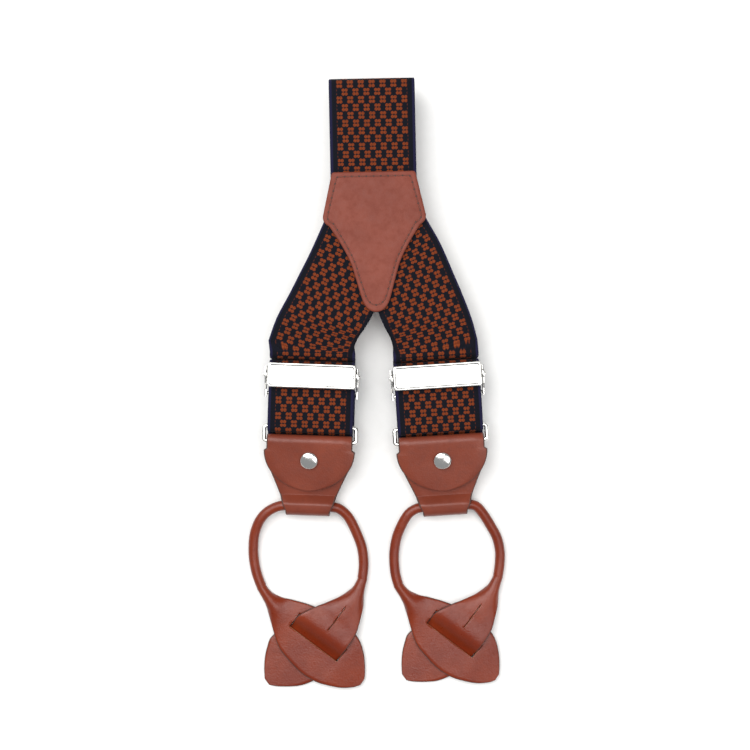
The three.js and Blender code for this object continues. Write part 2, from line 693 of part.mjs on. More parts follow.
// Half outline mirrored about the middle; inset moves the whole outline inwards.
function yokeShape(inset) {
  const top = 27.3 - inset;
  const side = 17.1 - inset;
  const corner = 1.3;
  const wing = 20.9 - inset;
  const tip = -29.7 + 1.5 * inset;
  const shape = new THREE.Shape();
  shape.moveTo(0, top);
  shape.lineTo(side - corner, top);
  shape.quadraticCurveTo(side, top, side + 0.1, top - corner);
  shape.lineTo(wing, 9.6);
  shape.quadraticCurveTo(wing + 0.3, 6.8 + 0.4 * inset, wing - 2.4, 5.4 + 0.5 * inset);
  shape.bezierCurveTo(14.8 - inset, -0.2, 10.2 - inset, -7.5, 8.9 - 0.9 * inset, -13.2);
  shape.lineTo(6.1 - 0.9 * inset, -23.2 + 0.3 * inset);
  shape.quadraticCurveTo(4.4 - 0.8 * inset, tip, 0, tip);
  shape.quadraticCurveTo(-4.4 + 0.8 * inset, tip, -6.1 + 0.9 * inset, -23.2 + 0.3 * inset);
  shape.lineTo(-8.9 + 0.9 * inset, -13.2);
  shape.bezierCurveTo(-10.2 + inset, -7.5, -14.8 + inset, -0.2, -wing + 2.4, 5.4 + 0.5 * inset);
  shape.quadraticCurveTo(-wing - 0.3, 6.8 + 0.4 * inset, -wing, 9.6);
  shape.lineTo(-side - 0.1, top - corner);
  shape.quadraticCurveTo(-side, top, -side + corner, top);
  shape.lineTo(0, top);
  return shape;
}

const yokeFrontBottom = YOKE_STRAP_Z + WEB_THICK / 2 + LAYER_GAP;
const yokeBackTop = YOKE_STRAP_Z - WEB_THICK / 2 - LAYER_GAP;

function yokeStitching() {
  const path = yokeShape(STITCH_INSET).getSpacedPoints(60);
  path.pop();
  const height = yokeFrontBottom + YOKE_LEATHER + THREAD_RADIUS + 0.1;
  return tube(path.map(({ x, y }) => point(x, y, height)), THREAD_RADIUS, 4, true);
}

// Under the yoke to the top fold, two spare runs below it, then down to the back ring.
function backStrapPath() {
  const ringWrap = wireWrap;
  const barY = BACK_RING_Y + RING_BAR_Y;
  const top = BACK_END_Z + ringWrap;
  const low = BACK_END_Z - ringWrap;
  const second = yokeBackTop - YOKE_LEATHER - LAYER_GAP - WEB_THICK / 2;
  const third = second - LAYER_PITCH;
  return roundedPath([
    [BACK_STRAP_END, YOKE_STRAP_Z, 0],
    [BACK_STRAP_TOP, YOKE_STRAP_Z, (YOKE_STRAP_Z - second) / 2],
    [BACK_STRAP_TOP, second, (YOKE_STRAP_Z - second) / 2],
    [-24, second, LAYER_PITCH / 2],
    [-24, third, LAYER_PITCH / 2],
    [BACK_STRAP_TOP - 1, third, (third - top) / 2],
    [BACK_STRAP_TOP - 1, top, (third - top) / 2],
    [barY - ringWrap, top, ringWrap],
    [barY - ringWrap, low, ringWrap],
    [barY + BACK_TAIL, low, 0],
  ]);
}

// ---------------------------------------------------------------- assembly

function named(name, geometry, material) {
  const mesh = new THREE.Mesh(geometry, material);
  mesh.name = name;
  return mesh;
}

function placed(x, y, z, turn, ...children) {
  const group = new THREE.Group();
  group.position.set(x, y, z);
  group.rotation.z = radians(turn);
  group.add(...children);
  return group;
}

// Ring, leather end and rivet. The leather hinges on the ring's lower bar; droop tips it down.
function ringAndLeather(side, droop) {
  const leather = new THREE.Group();
  leather.position.y = -RING_BAR_Y;
  leather.rotation.x = radians(droop);
  leather.add(
    named(`${side}_leather_end`, leatherEnd(), tanLeather),
    named(`${side}_rivet_cap`, rivetCap(), nickel),
    named(`${side}_rivet_post`, rivetPost(), nickel),
  );
  const group = new THREE.Group();
  group.add(named(`${side}_ring`, wireRing(), nickel), leather);
  return group;
}

function loopPieces(side, curve, scale) {
  return [
    named(`${side}_button_loop`, buttonLoop(curve, scale), tanLeather),
    named(`${side}_loop_core`, loopCore(curve), cordCore),
  ];
}

const droop = radians(LEATHER_DROOP);
const tunnelReach = RING_BAR_Y - (TUNNEL_Y * Math.cos(droop) - tunnelZ * Math.sin(droop));
const tunnelHeight = ringZ + TUNNEL_Y * Math.sin(droop) + tunnelZ * Math.cos(droop);

function frontLeg(leg) {
  const side = leg.side;
  const sign = side === 'left' ? -1 : 1;
  const x = sign * LEG_X;
  const frame = legMatrix(x, LEG_Y, leg.turn);
  const adjuster = [
    named(`${side}_adjuster_frame`, adjusterFrame(), nickel),
    named(`${side}_adjuster_bar`, adjusterBar(), nickel),
    named(`${side}_adjuster_cover`, adjusterCover(), nickel),
    named(`${side}_cover_pin_outer`, coverPin(sign), nickel),
    named(`${side}_cover_pin_inner`, coverPin(-sign), nickel),
  ];
  const strand = named(`${side}_return_strand`, returnStrand(leg.strandShift), navyWebbing);
  const end = ringAndLeather(side, LEATHER_DROOP);
  end.position.z = ringZ;
  const tunnel = point(0, -tunnelReach).applyAxisAngle(UP, radians(leg.turn));
  const curve = rolledPath(leg.loopLeft, leg.loopRight, tunnelHeight, leg.turn, leg.tabScale);
  return [
    named(`${side}_front_strap`, frontStrap(leg.diagonal, frame), navyWebbing),
    placed(x, LEG_Y, 0, leg.turn, strand, ...adjuster, end),
    placed(x + tunnel.x, LEG_Y + tunnel.y, 0, 0, ...loopPieces(side, curve, leg.tabScale)),
  ];
}

const leftLeg = {
  side: 'left',
  turn: LEFT_LEG_TURN,
  strandShift: 0.5,
  diagonal: leftDiagonal,
  tabScale: [1, 1],
  loopLeft: [[-13.8, -0.6, 5.3], [-17.4, -2.8, 4.9], [-20.2, -6.2, 4.4], [-22.2, -11.5, 3.5],
    [-22.8, -17, 2.8], [-22.6, -22.1, 2.4], [-21.6, -27.5, 2.3], [-19.9, -32.4, 2.3]],
  loopRight: [[13.4, -1.4, 5.3], [16.8, -4.7, 4.8], [20, -11.1, 3.6], [22.1, -16.8, 2.9],
    [22.9, -22.1, 2.5], [22.8, -27.5, 2.4]],
};
const rightLeg = {
  side: 'right',
  turn: RIGHT_LEG_TURN,
  strandShift: 0,
  diagonal: rightDiagonal,
  tabScale: [0.97, 0.975],
  loopLeft: [[-13, -1.7, 5.3], [-15.9, -4.4, 4.9], [-19.4, -11.6, 3.6], [-20.8, -18.3, 2.7],
    [-20.9, -23.6, 2.4], [-20.3, -28.9, 2.3], [-18.9, -33.4, 2.3]],
  loopRight: [[13, 0, 5.3], [15.9, -3.2, 4.9], [18.9, -8, 4.2], [21.6, -13, 3.3],
    [22.9, -18.3, 2.7], [23, -22.8, 2.4], [22.4, -28, 2.4]],
};

const backTabScale = [0.66, 0.88];
const backTunnelHeight = BACK_END_Z - tunnelZ;
const backLoopSide = (sign) => [[sign * 12.6, -0.3, 6.4], [sign * 14.2, -4.2, 4.2],
  [sign * 14.3, -9, 2.3], [sign * 14.3, -17, 2.1], [sign * 14.2, -24, 2.2]];
const backCurve = rolledPath(backLoopSide(-1), backLoopSide(1), backTunnelHeight, 0, backTabScale);

function backGroup() {
  const end = ringAndLeather('back', 0);
  end.position.set(0, BACK_RING_Y, BACK_END_Z);
  end.rotation.y = Math.PI;
  const tunnelY = BACK_RING_Y - RING_BAR_Y + TUNNEL_Y;
  const backTop = yokeBackTop;
  const frontBottom = yokeFrontBottom;
  return placed(YOKE_X, YOKE_Y, 0, YOKE_TURN,
    named('yoke_front', plate(yokeShape(0), frontBottom, frontBottom + YOKE_LEATHER), tanLeather),
    named('yoke_back', plate(yokeShape(0), backTop - YOKE_LEATHER, backTop), tanLeather),
    named('yoke_stitching', yokeStitching(), thread),
    named('back_strap', band(foldedStations(backStrapPath(), WEB_THICK, WEB_WIDTH / 2)), navyWebbing),
    end,
    placed(0, tunnelY, 0, 180, ...loopPieces('back', backCurve, backTabScale)),
  );
}

const suspenders = new THREE.Group();
suspenders.add(backGroup(), ...frontLeg(leftLeg), ...frontLeg(rightLeg));

suspenders.position.set(ORIGIN_X, ORIGIN_Y, 0);

export default suspenders;
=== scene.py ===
"""Y-back dress suspenders: the looks of each piece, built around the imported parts."""

import math

import bpy
import numpy as np
from mathutils import Matrix, Vector


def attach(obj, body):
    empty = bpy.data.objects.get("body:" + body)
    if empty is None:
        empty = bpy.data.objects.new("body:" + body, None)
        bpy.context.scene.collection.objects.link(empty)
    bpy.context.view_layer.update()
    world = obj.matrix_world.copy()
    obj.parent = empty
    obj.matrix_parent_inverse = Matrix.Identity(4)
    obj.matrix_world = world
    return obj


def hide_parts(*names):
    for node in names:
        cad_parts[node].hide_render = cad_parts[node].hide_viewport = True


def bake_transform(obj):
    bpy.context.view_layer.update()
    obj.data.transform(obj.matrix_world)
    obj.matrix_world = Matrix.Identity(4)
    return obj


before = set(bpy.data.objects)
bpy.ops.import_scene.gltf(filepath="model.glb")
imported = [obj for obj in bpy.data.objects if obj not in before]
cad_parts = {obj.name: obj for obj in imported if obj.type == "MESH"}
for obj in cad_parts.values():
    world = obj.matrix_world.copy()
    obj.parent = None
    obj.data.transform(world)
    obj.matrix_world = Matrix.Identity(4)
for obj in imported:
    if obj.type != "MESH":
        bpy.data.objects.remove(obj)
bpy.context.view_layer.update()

bl_info = {
    "name": "Dress Suspenders Looks",
    "version": (1, 0, 0),
    "blender": (4, 5, 0),
    "location": "3D Viewport > Sidebar > Suspenders",
    "description": "Builds the webbing, leather, metal and stage of a pair of Y-back suspenders",
    "category": "Object",
}

MM = 0.001

# Webbing and the legs of the front straps, in millimetres
WEB_WIDTH = 35.0
WEB_THICK = 1.3
LAYER_PITCH = 1.6
LEG_X = 26.8
LEG_Y = -20.1
SPARE_LAYERS = 6
SPARE_TOP = 29.5
SPARE_BOTTOM = -1.0
DIP_Y = 31.1
DIP_HEIGHT = 15.1
DIP_RADIUS = 2.5

# Metal
RING_WIRE = 1.8
RING_OUTER_X = 39.6
RING_BAR_Y = 3.0
RING_CORNER = 1.0
ADJUSTER_Y = 24.0
COVER_SIZE = (36.1, 10.05, 1.2)
COVER_CORNER = 1.4
BAR_Y = 16.4

# Leather
LEATHER_THICK = 1.5
FLAP_HALF = 18.7
FLAP_DEPTH = 16.8
WRAP_HALF = 17.6
TUNNEL_HALF = 9.0
TUNNEL_Y = -27.7
LEATHER_DROOP = 16.0
RIVET_Y = -7.25
RIVET_RADIUS = 3.7
CORD_RADIUS = 2.05
ROLL_THICK = 1.0
TAB_THICK = 1.4

# Places of the two groups
ORIGIN = (-0.559, -0.047)
YOKE_PLACE = (-0.2, 59.5, 1.2)
YOKE_LEATHER = 1.5
YOKE_STRAP_Z = 18.0
BACK_STRAP_TOP = 65.0
BACK_STRAP_END = 14.3
BACK_RING_Y = 8.5
BACK_END_Z = 8.3

# Clearances and the adjuster's bar
WIRE_CLEARANCE = 0.25
FIT_GAP = 0.3
BAR_RADIUS = 0.7
BAR_CLEARANCE = 0.2

# Heights that follow from the sizes above
RETURN_Z = WEB_THICK / 2 + SPARE_LAYERS * LAYER_PITCH
WIRE_WRAP = RING_WIRE / 2 + WIRE_CLEARANCE + WEB_THICK / 2
RING_Z = RETURN_Z + WIRE_WRAP
BAR_WRAP = BAR_RADIUS + BAR_CLEARANCE + WEB_THICK / 2
BAR_Z = RETURN_Z + BAR_WRAP
RUN_Z = BAR_Z + BAR_WRAP + LAYER_PITCH
RUN_TOP = RUN_Z + WEB_THICK / 2
LEATHER_WRAP = RING_WIRE / 2 + FIT_GAP + LEATHER_THICK / 2
TUNNEL_WRAP = CORD_RADIUS + FIT_GAP + LEATHER_THICK / 2
TUNNEL_Z = TUNNEL_WRAP - LEATHER_WRAP
YOKE_FRONT_Z = YOKE_STRAP_Z + WEB_THICK / 2 + FIT_GAP
YOKE_BACK_Z = YOKE_STRAP_Z - WEB_THICK / 2 - FIT_GAP


# ---------------------------------------------------------------- materials


def linear(colour):
    """An sRGB hex colour such as "#808080" as the linear colour a shader takes."""
    parts = []
    for start in (1, 3, 5):
        share = int(colour[start:start + 2], 16) / 255
        parts.append(share / 12.92 if share <= 0.04045 else ((share + 0.055) / 1.055) ** 2.4)
    return (*parts, 1.0)


class Tree:
    """A material's node tree with short calls for adding and joining nodes."""

    def __init__(self, name):
        self.material = bpy.data.materials.new(name)
        self.material.use_nodes = True
        self.nodes = self.material.node_tree.nodes
        self.links = self.material.node_tree.links
        self.shader = self.nodes["Principled BSDF"]

    def node(self, kind, *inputs, **settings):
        made = self.nodes.new(kind)
        for key, value in settings.items():
            setattr(made, key, value)
        for i, value in enumerate(inputs):
            self.put(made.inputs[i], value)
        return made.outputs[0]

    def put(self, socket, value):
        if isinstance(value, bpy.types.NodeSocket):
            self.links.new(value, socket)
        elif value is not None:
            socket.default_value = value

    def math(self, operation, *inputs):
        return self.node("ShaderNodeMath", *inputs, operation=operation)

    def mix(self, share, first, second):
        made = self.nodes.new("ShaderNodeMix")
        made.data_type = "RGBA"
        self.put(made.inputs[0], share)
        self.put(made.inputs[6], first)
        self.put(made.inputs[7], second)
        return made.outputs[2]

    def ramp(self, value, low, high, start=0.0, end=1.0):
        made = self.nodes.new("ShaderNodeMapRange")
        for i, item in enumerate((value, low, high, start, end)):
            self.put(made.inputs[i], item)
        return made.outputs[0]

    def noise(self, grain, detail, in_mm=None):
        """Noise with grains of this many millimetres, over the piece or a vector in millimetres."""
        made = self.nodes.new("ShaderNodeTexNoise")
        self.put(made.inputs["Vector"], in_mm or self.place())
        made.inputs["Scale"].default_value = 1 / grain if in_mm else 1 / (grain * MM)
        made.inputs["Detail"].default_value = detail
        return made.outputs[0]

    def place(self):
        return self.nodes.new("ShaderNodeTexCoord").outputs["Object"]

    def bump(self, height, strength, distance):
        made = self.nodes.new("ShaderNodeBump")
        made.inputs["Strength"].default_value = strength
        made.inputs["Distance"].default_value = distance
        self.put(made.inputs["Height"], height)
        self.links.new(made.outputs[0], self.shader.inputs["Normal"])

    def set(self, **inputs):
        for key, value in inputs.items():
            self.put(self.shader.inputs[key.replace("_", " ")], value)


# Sizes of the woven and grained patterns, in millimetres
MOTIF_ACROSS = 4.53
MOTIF_ALONG = 6.35
PETAL_PLACE = (0.62, 0.78)
PETAL_RADIUS = 0.68
PATTERN_HALF = 14.7
SELVEDGE_HALF = 16.75
THREAD_PITCH = 0.625
PORE_SIZE = 0.667


def along_and_across(tree):
    """The piece's UV map in millimetres: across the strip, and along it."""
    made = tree.nodes.new("ShaderNodeSeparateXYZ")
    tree.links.new(tree.nodes.new("ShaderNodeTexCoord").outputs["UV"], made.inputs[0])
    return made.outputs[0], made.outputs[1]


def motif_distance(tree, across, along, shift):
    """Distance from the nearest four-petal motif of one lattice; below 1 is inside."""
    offsets = []
    for value, pitch, petal in ((across, MOTIF_ACROSS, PETAL_PLACE[0]),
                                (along, MOTIF_ALONG, PETAL_PLACE[1])):
        cell = tree.math("FRACT", tree.math("ADD", tree.math("DIVIDE", value, pitch), shift))
        centred = tree.math("MULTIPLY", tree.math("SUBTRACT", cell, 0.5), pitch)
        folded = tree.math("SUBTRACT", tree.math("ABSOLUTE", centred), petal)
        offsets.append(tree.math("POWER",
                                 tree.math("ABSOLUTE", tree.math("DIVIDE", folded, PETAL_RADIUS)),
                                 2.0))
    return tree.math("ADD", offsets[0], offsets[1])


def webbing_material():
    """Elastic jacquard webbing: navy ground with a fine rib, rust petals, purple selvedge."""
    tree = Tree("jacquard elastic webbing")
    across, along = along_and_across(tree)
    first = motif_distance(tree, across, along, 0.5)
    second = motif_distance(tree, across, along, 0.0)
    petals = tree.ramp(tree.math("MINIMUM", first, second), 1.25, 0.75)
    edge = tree.math("ABSOLUTE", across)
    inside = tree.ramp(edge, PATTERN_HALF + 0.2, PATTERN_HALF - 0.2)
    threads = tree.node("ShaderNodeCombineXYZ", tree.math("MULTIPLY", across, 3.2), along, 0.0)
    grain = tree.noise(THREAD_PITCH, 2.0, threads)
    petals = tree.math("MULTIPLY", tree.math("MULTIPLY", petals, inside),
                       tree.ramp(grain, 0.25, 0.5, 0.55, 1.0))
    ribs = tree.math("SINE", tree.math("MULTIPLY",
                                       tree.math("ADD", across, tree.math("MULTIPLY", along, 0.5)),
                                       9.0))
    picks = tree.math("SINE", tree.math("MULTIPLY", along, 12.0))
    weave = tree.math("ADD", tree.math("MULTIPLY", ribs, 0.5), tree.math("MULTIPLY", picks, 0.5))
    ground = tree.mix(tree.ramp(weave, -1.0, 1.0), linear("#020308"), linear("#090b18"))
    rust = tree.mix(tree.ramp(weave, -1.0, 1.0), linear("#582008"), linear("#8a3e18"))
    colour = tree.mix(petals, ground, rust)
    selvedge = tree.ramp(edge, SELVEDGE_HALF - 0.15, SELVEDGE_HALF + 0.15)
    colour = tree.mix(selvedge, colour, linear("#181634"))
    tree.set(Base_Color=colour, Roughness=0.85, Specular_IOR_Level=0.2, Sheen_Weight=0.03,
             Sheen_Roughness=0.4)
    tree.bump(tree.math("ADD", weave, tree.math("MULTIPLY", petals, 1.4)), 0.55, 0.00012)
    return tree.material


def leather_material(name, base, light, dark, roughness):
    """Calf leather: fine pebble grain, a little unevenness in the colour, a soft gloss."""
    tree = Tree(name)
    pores = tree.nodes.new("ShaderNodeTexVoronoi")
    tree.links.new(tree.place(), pores.inputs["Vector"])
    pores.inputs["Scale"].default_value = 1 / (PORE_SIZE * MM)
    patches = tree.noise(14.3, 3.0)
    creases = tree.noise(2.38, 4.0)
    colour = tree.mix(tree.ramp(patches, 0.35, 0.7), linear(base), linear(light))
    colour = tree.mix(tree.ramp(creases, 0.5, 0.75, 0.0, 0.3), colour, linear(dark))
    gloss = tree.ramp(creases, 0.3, 0.7, roughness - 0.06, roughness + 0.08)
    tree.set(Base_Color=colour, Roughness=gloss, Coat_Weight=0.04, Coat_Roughness=0.3,
             Specular_IOR_Level=0.35)
    height = tree.math("ADD", pores.outputs["Distance"], tree.math("MULTIPLY", creases, 1.2))
    tree.bump(height, 0.35, 0.00012)
    return tree.material


def edge_material(name, colour, other):
    """Cut leather edge: raw fibres without the grain's gloss."""
    tree = Tree(name)
    fibres = tree.noise(0.385, 3.0)
    tree.set(Base_Color=tree.mix(fibres, linear(colour), linear(other)), Roughness=0.8)
    tree.bump(fibres, 0.5, 0.0001)
    return tree.material


def nickel_material():
    """Polished nickel plate with faint handling marks."""
    tree = Tree("polished nickel plate")
    marks = tree.noise(1.11, 5.0)
    tree.set(Base_Color=linear("#e9e7e2"), Metallic=1.0,
             Roughness=tree.ramp(marks, 0.3, 0.75, 0.1, 0.24))
    tree.bump(marks, 0.04, 0.00005)
    return tree.material


def thread_material():
    """Waxed sewing thread with its twist."""
    tree = Tree("waxed thread")
    twist = tree.noise(0.455, 2.0)
    tree.set(Base_Color=tree.mix(twist, linear("#542820"), linear("#804636")), Roughness=0.7)
    tree.bump(twist, 0.5, 0.0001)
    return tree.material


def cord_material():
    """Cotton filler cord."""
    tree = Tree("cotton cord")
    strands = tree.noise(0.833, 3.0)
    tree.set(Base_Color=tree.mix(strands, linear("#c4b696"), linear("#e0d6bc")), Roughness=0.92)
    tree.bump(strands, 0.6, 0.0002)
    return tree.material


def floor_material():
    """Pale matt board."""
    tree = Tree("pale matt board")
    fibre = tree.noise(3.33, 4.0)
    tree.set(Base_Color=tree.mix(fibre, linear("#f0efec"), linear("#f6f5f3")), Roughness=0.85)
    tree.bump(fibre, 0.08, 0.0001)
    return tree.material


MAKERS = {
    "webbing": webbing_material,
    "yoke": lambda: leather_material("matt yoke calf", "#723222", "#7c3928", "#60281b", 0.66),
    "end": lambda: leather_material("smooth calf", "#703222", "#7c3a28", "#5c2619", 0.38),
    "tab": lambda: leather_material("tab calf", "#6e240c", "#7c2e12", "#5a1d0a", 0.33),
    "edge": lambda: edge_material("cut leather edge", "#422a26", "#5c3c32"),
    "slit": lambda: edge_material("pale slit edge", "#a87454", "#be8c68"),
    "nickel": nickel_material,
    "thread": thread_material,
    "cord": cord_material,
    "floor": floor_material,
}
made_materials = {}


def material(key):
    """The material of that key, made once."""
    if key not in made_materials:
        made_materials[key] = MAKERS[key]()
    return made_materials[key]


# ---------------------------------------------------------------- meshes


def leg_matrix(side):
    """Where a front leg lies on the floor."""
    turn = scene_settings().left_leg_turn if side == "left" else scene_settings().right_leg_turn
    x = -LEG_X if side == "left" else LEG_X
    return Matrix.Translation((ORIGIN[0] + x, ORIGIN[1] + LEG_Y, 0)) @ Matrix.Rotation(turn, 4,
                                                                                       "Z")


def back_matrix():
    """Where the yoke and back strap lie."""
    x, y, turn = YOKE_PLACE
    return Matrix.Translation((ORIGIN[0] + x, ORIGIN[1] + y,
                               0)) @ Matrix.Rotation(math.radians(turn), 4, "Z")


def leather_matrix(side):
    """The leather end hangs from the middle of its ring."""
    if side == "back":
        hinge = Matrix.Translation((0, BACK_RING_Y, BACK_END_Z)) @ Matrix.Rotation(math.pi, 4, "Y")
        return back_matrix() @ hinge @ Matrix.Translation((0, -RING_BAR_Y, 0))
    tip = Matrix.Rotation(math.radians(LEATHER_DROOP), 4, "X")
    return leg_matrix(side) @ Matrix.Translation((0, -RING_BAR_Y, RING_Z)) @ tip


def ring_matrix(side):
    """The ring lies at the end of its strap."""
    if side == "back":
        hinge = Matrix.Translation((0, BACK_RING_Y, BACK_END_Z)) @ Matrix.Rotation(math.pi, 4, "Y")
        return back_matrix() @ hinge
    return leg_matrix(side) @ Matrix.Translation((0, 0, RING_Z))


def mesh_object(name, vertices, faces, uvs, indices, keys, matrix=None):
    """A smooth-shaded mesh from millimetre vertices; uvs are per vertex, indices per face."""
    matrix = matrix or Matrix.Translation((ORIGIN[0], ORIGIN[1], 0))
    points = [tuple((matrix @ Vector(v)) * MM) for v in vertices]
    name = name.replace(" ", "_")
    mesh = bpy.data.meshes.new(name)
    mesh.from_pydata(points, [], faces)
    layer = mesh.uv_layers.new(name="mm")
    for polygon in mesh.polygons:
        polygon.use_smooth = True
        polygon.material_index = indices[polygon.index] if indices else 0
        for loop in polygon.loop_indices:
            layer.data[loop].uv = uvs[mesh.loops[loop].vertex_index]
    for key in keys:
        mesh.materials.append(material(key))
    piece = bpy.data.objects.new(name, mesh)
    bpy.context.scene.collection.objects.link(piece)
    return piece


def skin(sections, uvs, closed=False, caps=True, edge_from=None):
    """Joins closed sections into a tube. edge_from(i) says if side i is a cut edge."""
    count = len(sections[0])
    vertices = [point for section in sections for point in section]
    flat_uvs = [uv for row in uvs for uv in row]
    faces, indices = [], []
    spans = len(sections) if closed else len(sections) - 1
    for s in range(spans):
        here, after = s * count, ((s + 1) % len(sections)) * count
        for i in range(count):
            j = (i + 1) % count
            faces.append((here + i, after + i, after + j, here + j))
            indices.append(1 if edge_from and edge_from(i) else 0)
    if caps and not closed:
        last = (len(sections) - 1) * count
        faces.append(tuple(range(count)))
        faces.append(tuple(last + i for i in reversed(range(count))))
        indices += [1 if edge_from else 0] * 2
    return vertices, faces, flat_uvs, indices


def outward(piece):
    """Points every face outwards."""
    import bmesh

    cage = bmesh.new()
    cage.from_mesh(piece.data)
    bmesh.ops.recalc_face_normals(cage, faces=cage.faces)
    cage.to_mesh(piece.data)
    cage.free()
    return piece


def rounded_path(corners, step=12.0):
    """Follows corners (y, z, radius) in a vertical plane and rounds each with an arc."""
    points = [np.array(c[:2], float) for c in corners]
    path = [points[0]]
    for i in range(1, len(points) - 1):
        into = points[i] - points[i - 1]
        out = points[i + 1] - points[i]
        into, out = into / np.linalg.norm(into), out / np.linalg.norm(out)
        turn = math.atan2(into[0] * out[1] - into[1] * out[0], float(into @ out))
        radius = corners[i][2]
        start = points[i] - into * radius * math.tan(abs(turn) / 2)
        centre = start + np.array([-into[1], into[0]]) * radius * math.copysign(1, turn)
        steps = max(1, math.ceil(abs(turn) / math.radians(step)))
        for k in range(steps + 1):
            angle = turn * k / steps
            spin = np.array([[math.cos(angle), -math.sin(angle)],
                             [math.sin(angle), math.cos(angle)]])
            path.append(centre + spin @ (start - centre))
    path.append(points[-1])
    kept = [path[0]]
    for here in path[1:]:
        if np.linalg.norm(here - kept[-1]) > 1e-3:
            kept.append(here)
    return kept


def with_places(path, step):
    """Adds places along the straight stretches."""
    full = [path[0]]
    for here in path[1:]:
        before = full[-1]
        parts = max(1, round(float(np.linalg.norm(here - before)) / step))
        full += [before + (here - before) * (k + 1) / parts for k in range(parts)]
    return full


def section_profile(thick, columns=8, corner=4):
    """A strip's section: (across share, across offset, height) with rounded edges."""
    half = thick / 2
    top = [(-1 + 2 * i / columns, 0.0, half) for i in range(columns + 1)]
    right = [(1.0, half * 0.7 * math.sin(math.pi * k / corner),
              half * math.cos(math.pi * k / corner))
             for k in range(1, corner)]
    bottom = [(share, 0.0, -half) for share, _, _ in reversed(top)]
    left = [(-1.0, -half * 0.7 * math.sin(math.pi * k / corner),
             -half * math.cos(math.pi * k / corner))
            for k in range(1, corner)]
    return top + right + bottom + left


def folded_sections(path, thick, half_at, shift=0.0, run=0.0):
    """Sections and UVs of a strip whose middle follows a path in the YZ plane."""
    profile = section_profile(thick)
    sections, uvs, length = [], [], run
    for i, here in enumerate(path):
        before, after = path[max(i - 1, 0)], path[min(i + 1, len(path) - 1)]
        length += float(np.linalg.norm(here - before))
        along = after - before
        along = along / np.linalg.norm(along)
        normal = np.array([-along[1], along[0]])
        half = half_at(i, here)
        row, uv = [], []
        for share, side, height in profile:
            y, z = here - normal * height
            inset = min(thick / 2 * 0.7, half * 0.5)
            x = shift + share * (half - inset) + side
            row.append((x, y, z))
            uv.append((share * half, length))
        sections.append(row)
        uvs.append(uv)
    return sections, uvs


DIAGONAL_START = 28.0
DIAGONALS = {
    "left": [
        (-18.1, 73, -0.3, 64.7), (-20.95, 66.5, -0.3, 56.8), (-24.2, 59.1, -0.3, 47.9),
        (-27.4, 52.2, -0.3, 39.5), (-30.75, 45.6, -0.1, 31.4), (-34.9, 37.4, -3.6, 24.4),
        (-40.1, 27.6, -6.9, 19.5), (-43.6, 18.3, -8.6, 15.9),
    ],
    "right": [
        (18.1, 73, 0.3, 64.7), (21, 67.5, 0.3, 57.4), (25.8, 59.1, 0.3, 47.9),
        (29, 52.2, 0.3, 39.5), (31.8, 45.6, 0.9, 31.2), (35.3, 37.4, 3.5, 24.2),
        (39.1, 27.6, 6, 19.6), (41.6, 18.9, 7.2, 15.6),
    ],
}


def smooth_rows(rows, parts):
    """Catmull-Rom rows between the given ones; a row is an array of any shape."""
    rows = [np.array(row, float) for row in rows]
    full = []
    for i in range(len(rows) - 1):
        a, b, c, d = (rows[max(i - 1, 0)], rows[i], rows[i + 1], rows[min(i + 2, len(rows) - 1)])
        for k in range(parts):
            t = k / parts
            full.append(0.5 * (2 * b + (c - a) * t + (2 * a - 5 * b + 4 * c - d) * t * t
                               + (3 * b - a - 3 * c + d) * t ** 3))
    full.append(rows[-1])
    return full


def diagonal_sections(side):
    """The strap from the yoke to the dip. The UVs run along its outer edge."""
    end = LEG_Y + DIP_Y + DIP_RADIUS
    rows = smooth_rows(DIAGONALS[side], 4)
    sign = -1 if side == "left" else 1
    profile = section_profile(WEB_THICK)
    sections, uvs, length = [], [], 0.0
    for i, row in enumerate(rows):
        outer, inner = row[:2], row[2:]
        before, after = rows[max(i - 1, 0)][:2], rows[min(i + 1, len(rows) - 1)][:2]
        length += float(np.linalg.norm(outer - before))
        along = (after - before) / np.linalg.norm(after - before)
        across = np.array([-along[1], along[0]]) * -sign
        left, right = (outer, inner) if sign < 0 else (inner, outer)
        middle, reach = (left + right) / 2, (right - left) / 2
        points, uv = [], []
        for share, offset, height in profile:
            inset = 1 - 0.45 / np.linalg.norm(reach)
            flat = middle + reach * (share * inset + offset / np.linalg.norm(reach))
            drop = min(max((DIAGONAL_START - flat[1]) / (DIAGONAL_START - end), 0), 1)
            drop = drop * drop * (3 - 2 * drop)
            z = YOKE_STRAP_Z + (DIP_HEIGHT - YOKE_STRAP_Z) * drop + height
            points.append((flat[0] + ORIGIN[0], flat[1] + ORIGIN[1], z))
            step = flat - outer
            distance = abs(float(step @ across))
            uv.append((sign * (WEB_WIDTH / 2 - distance), length + float(step @ along)))
        sections.append(points)
        uvs.append(uv)
    return sections, uvs, length


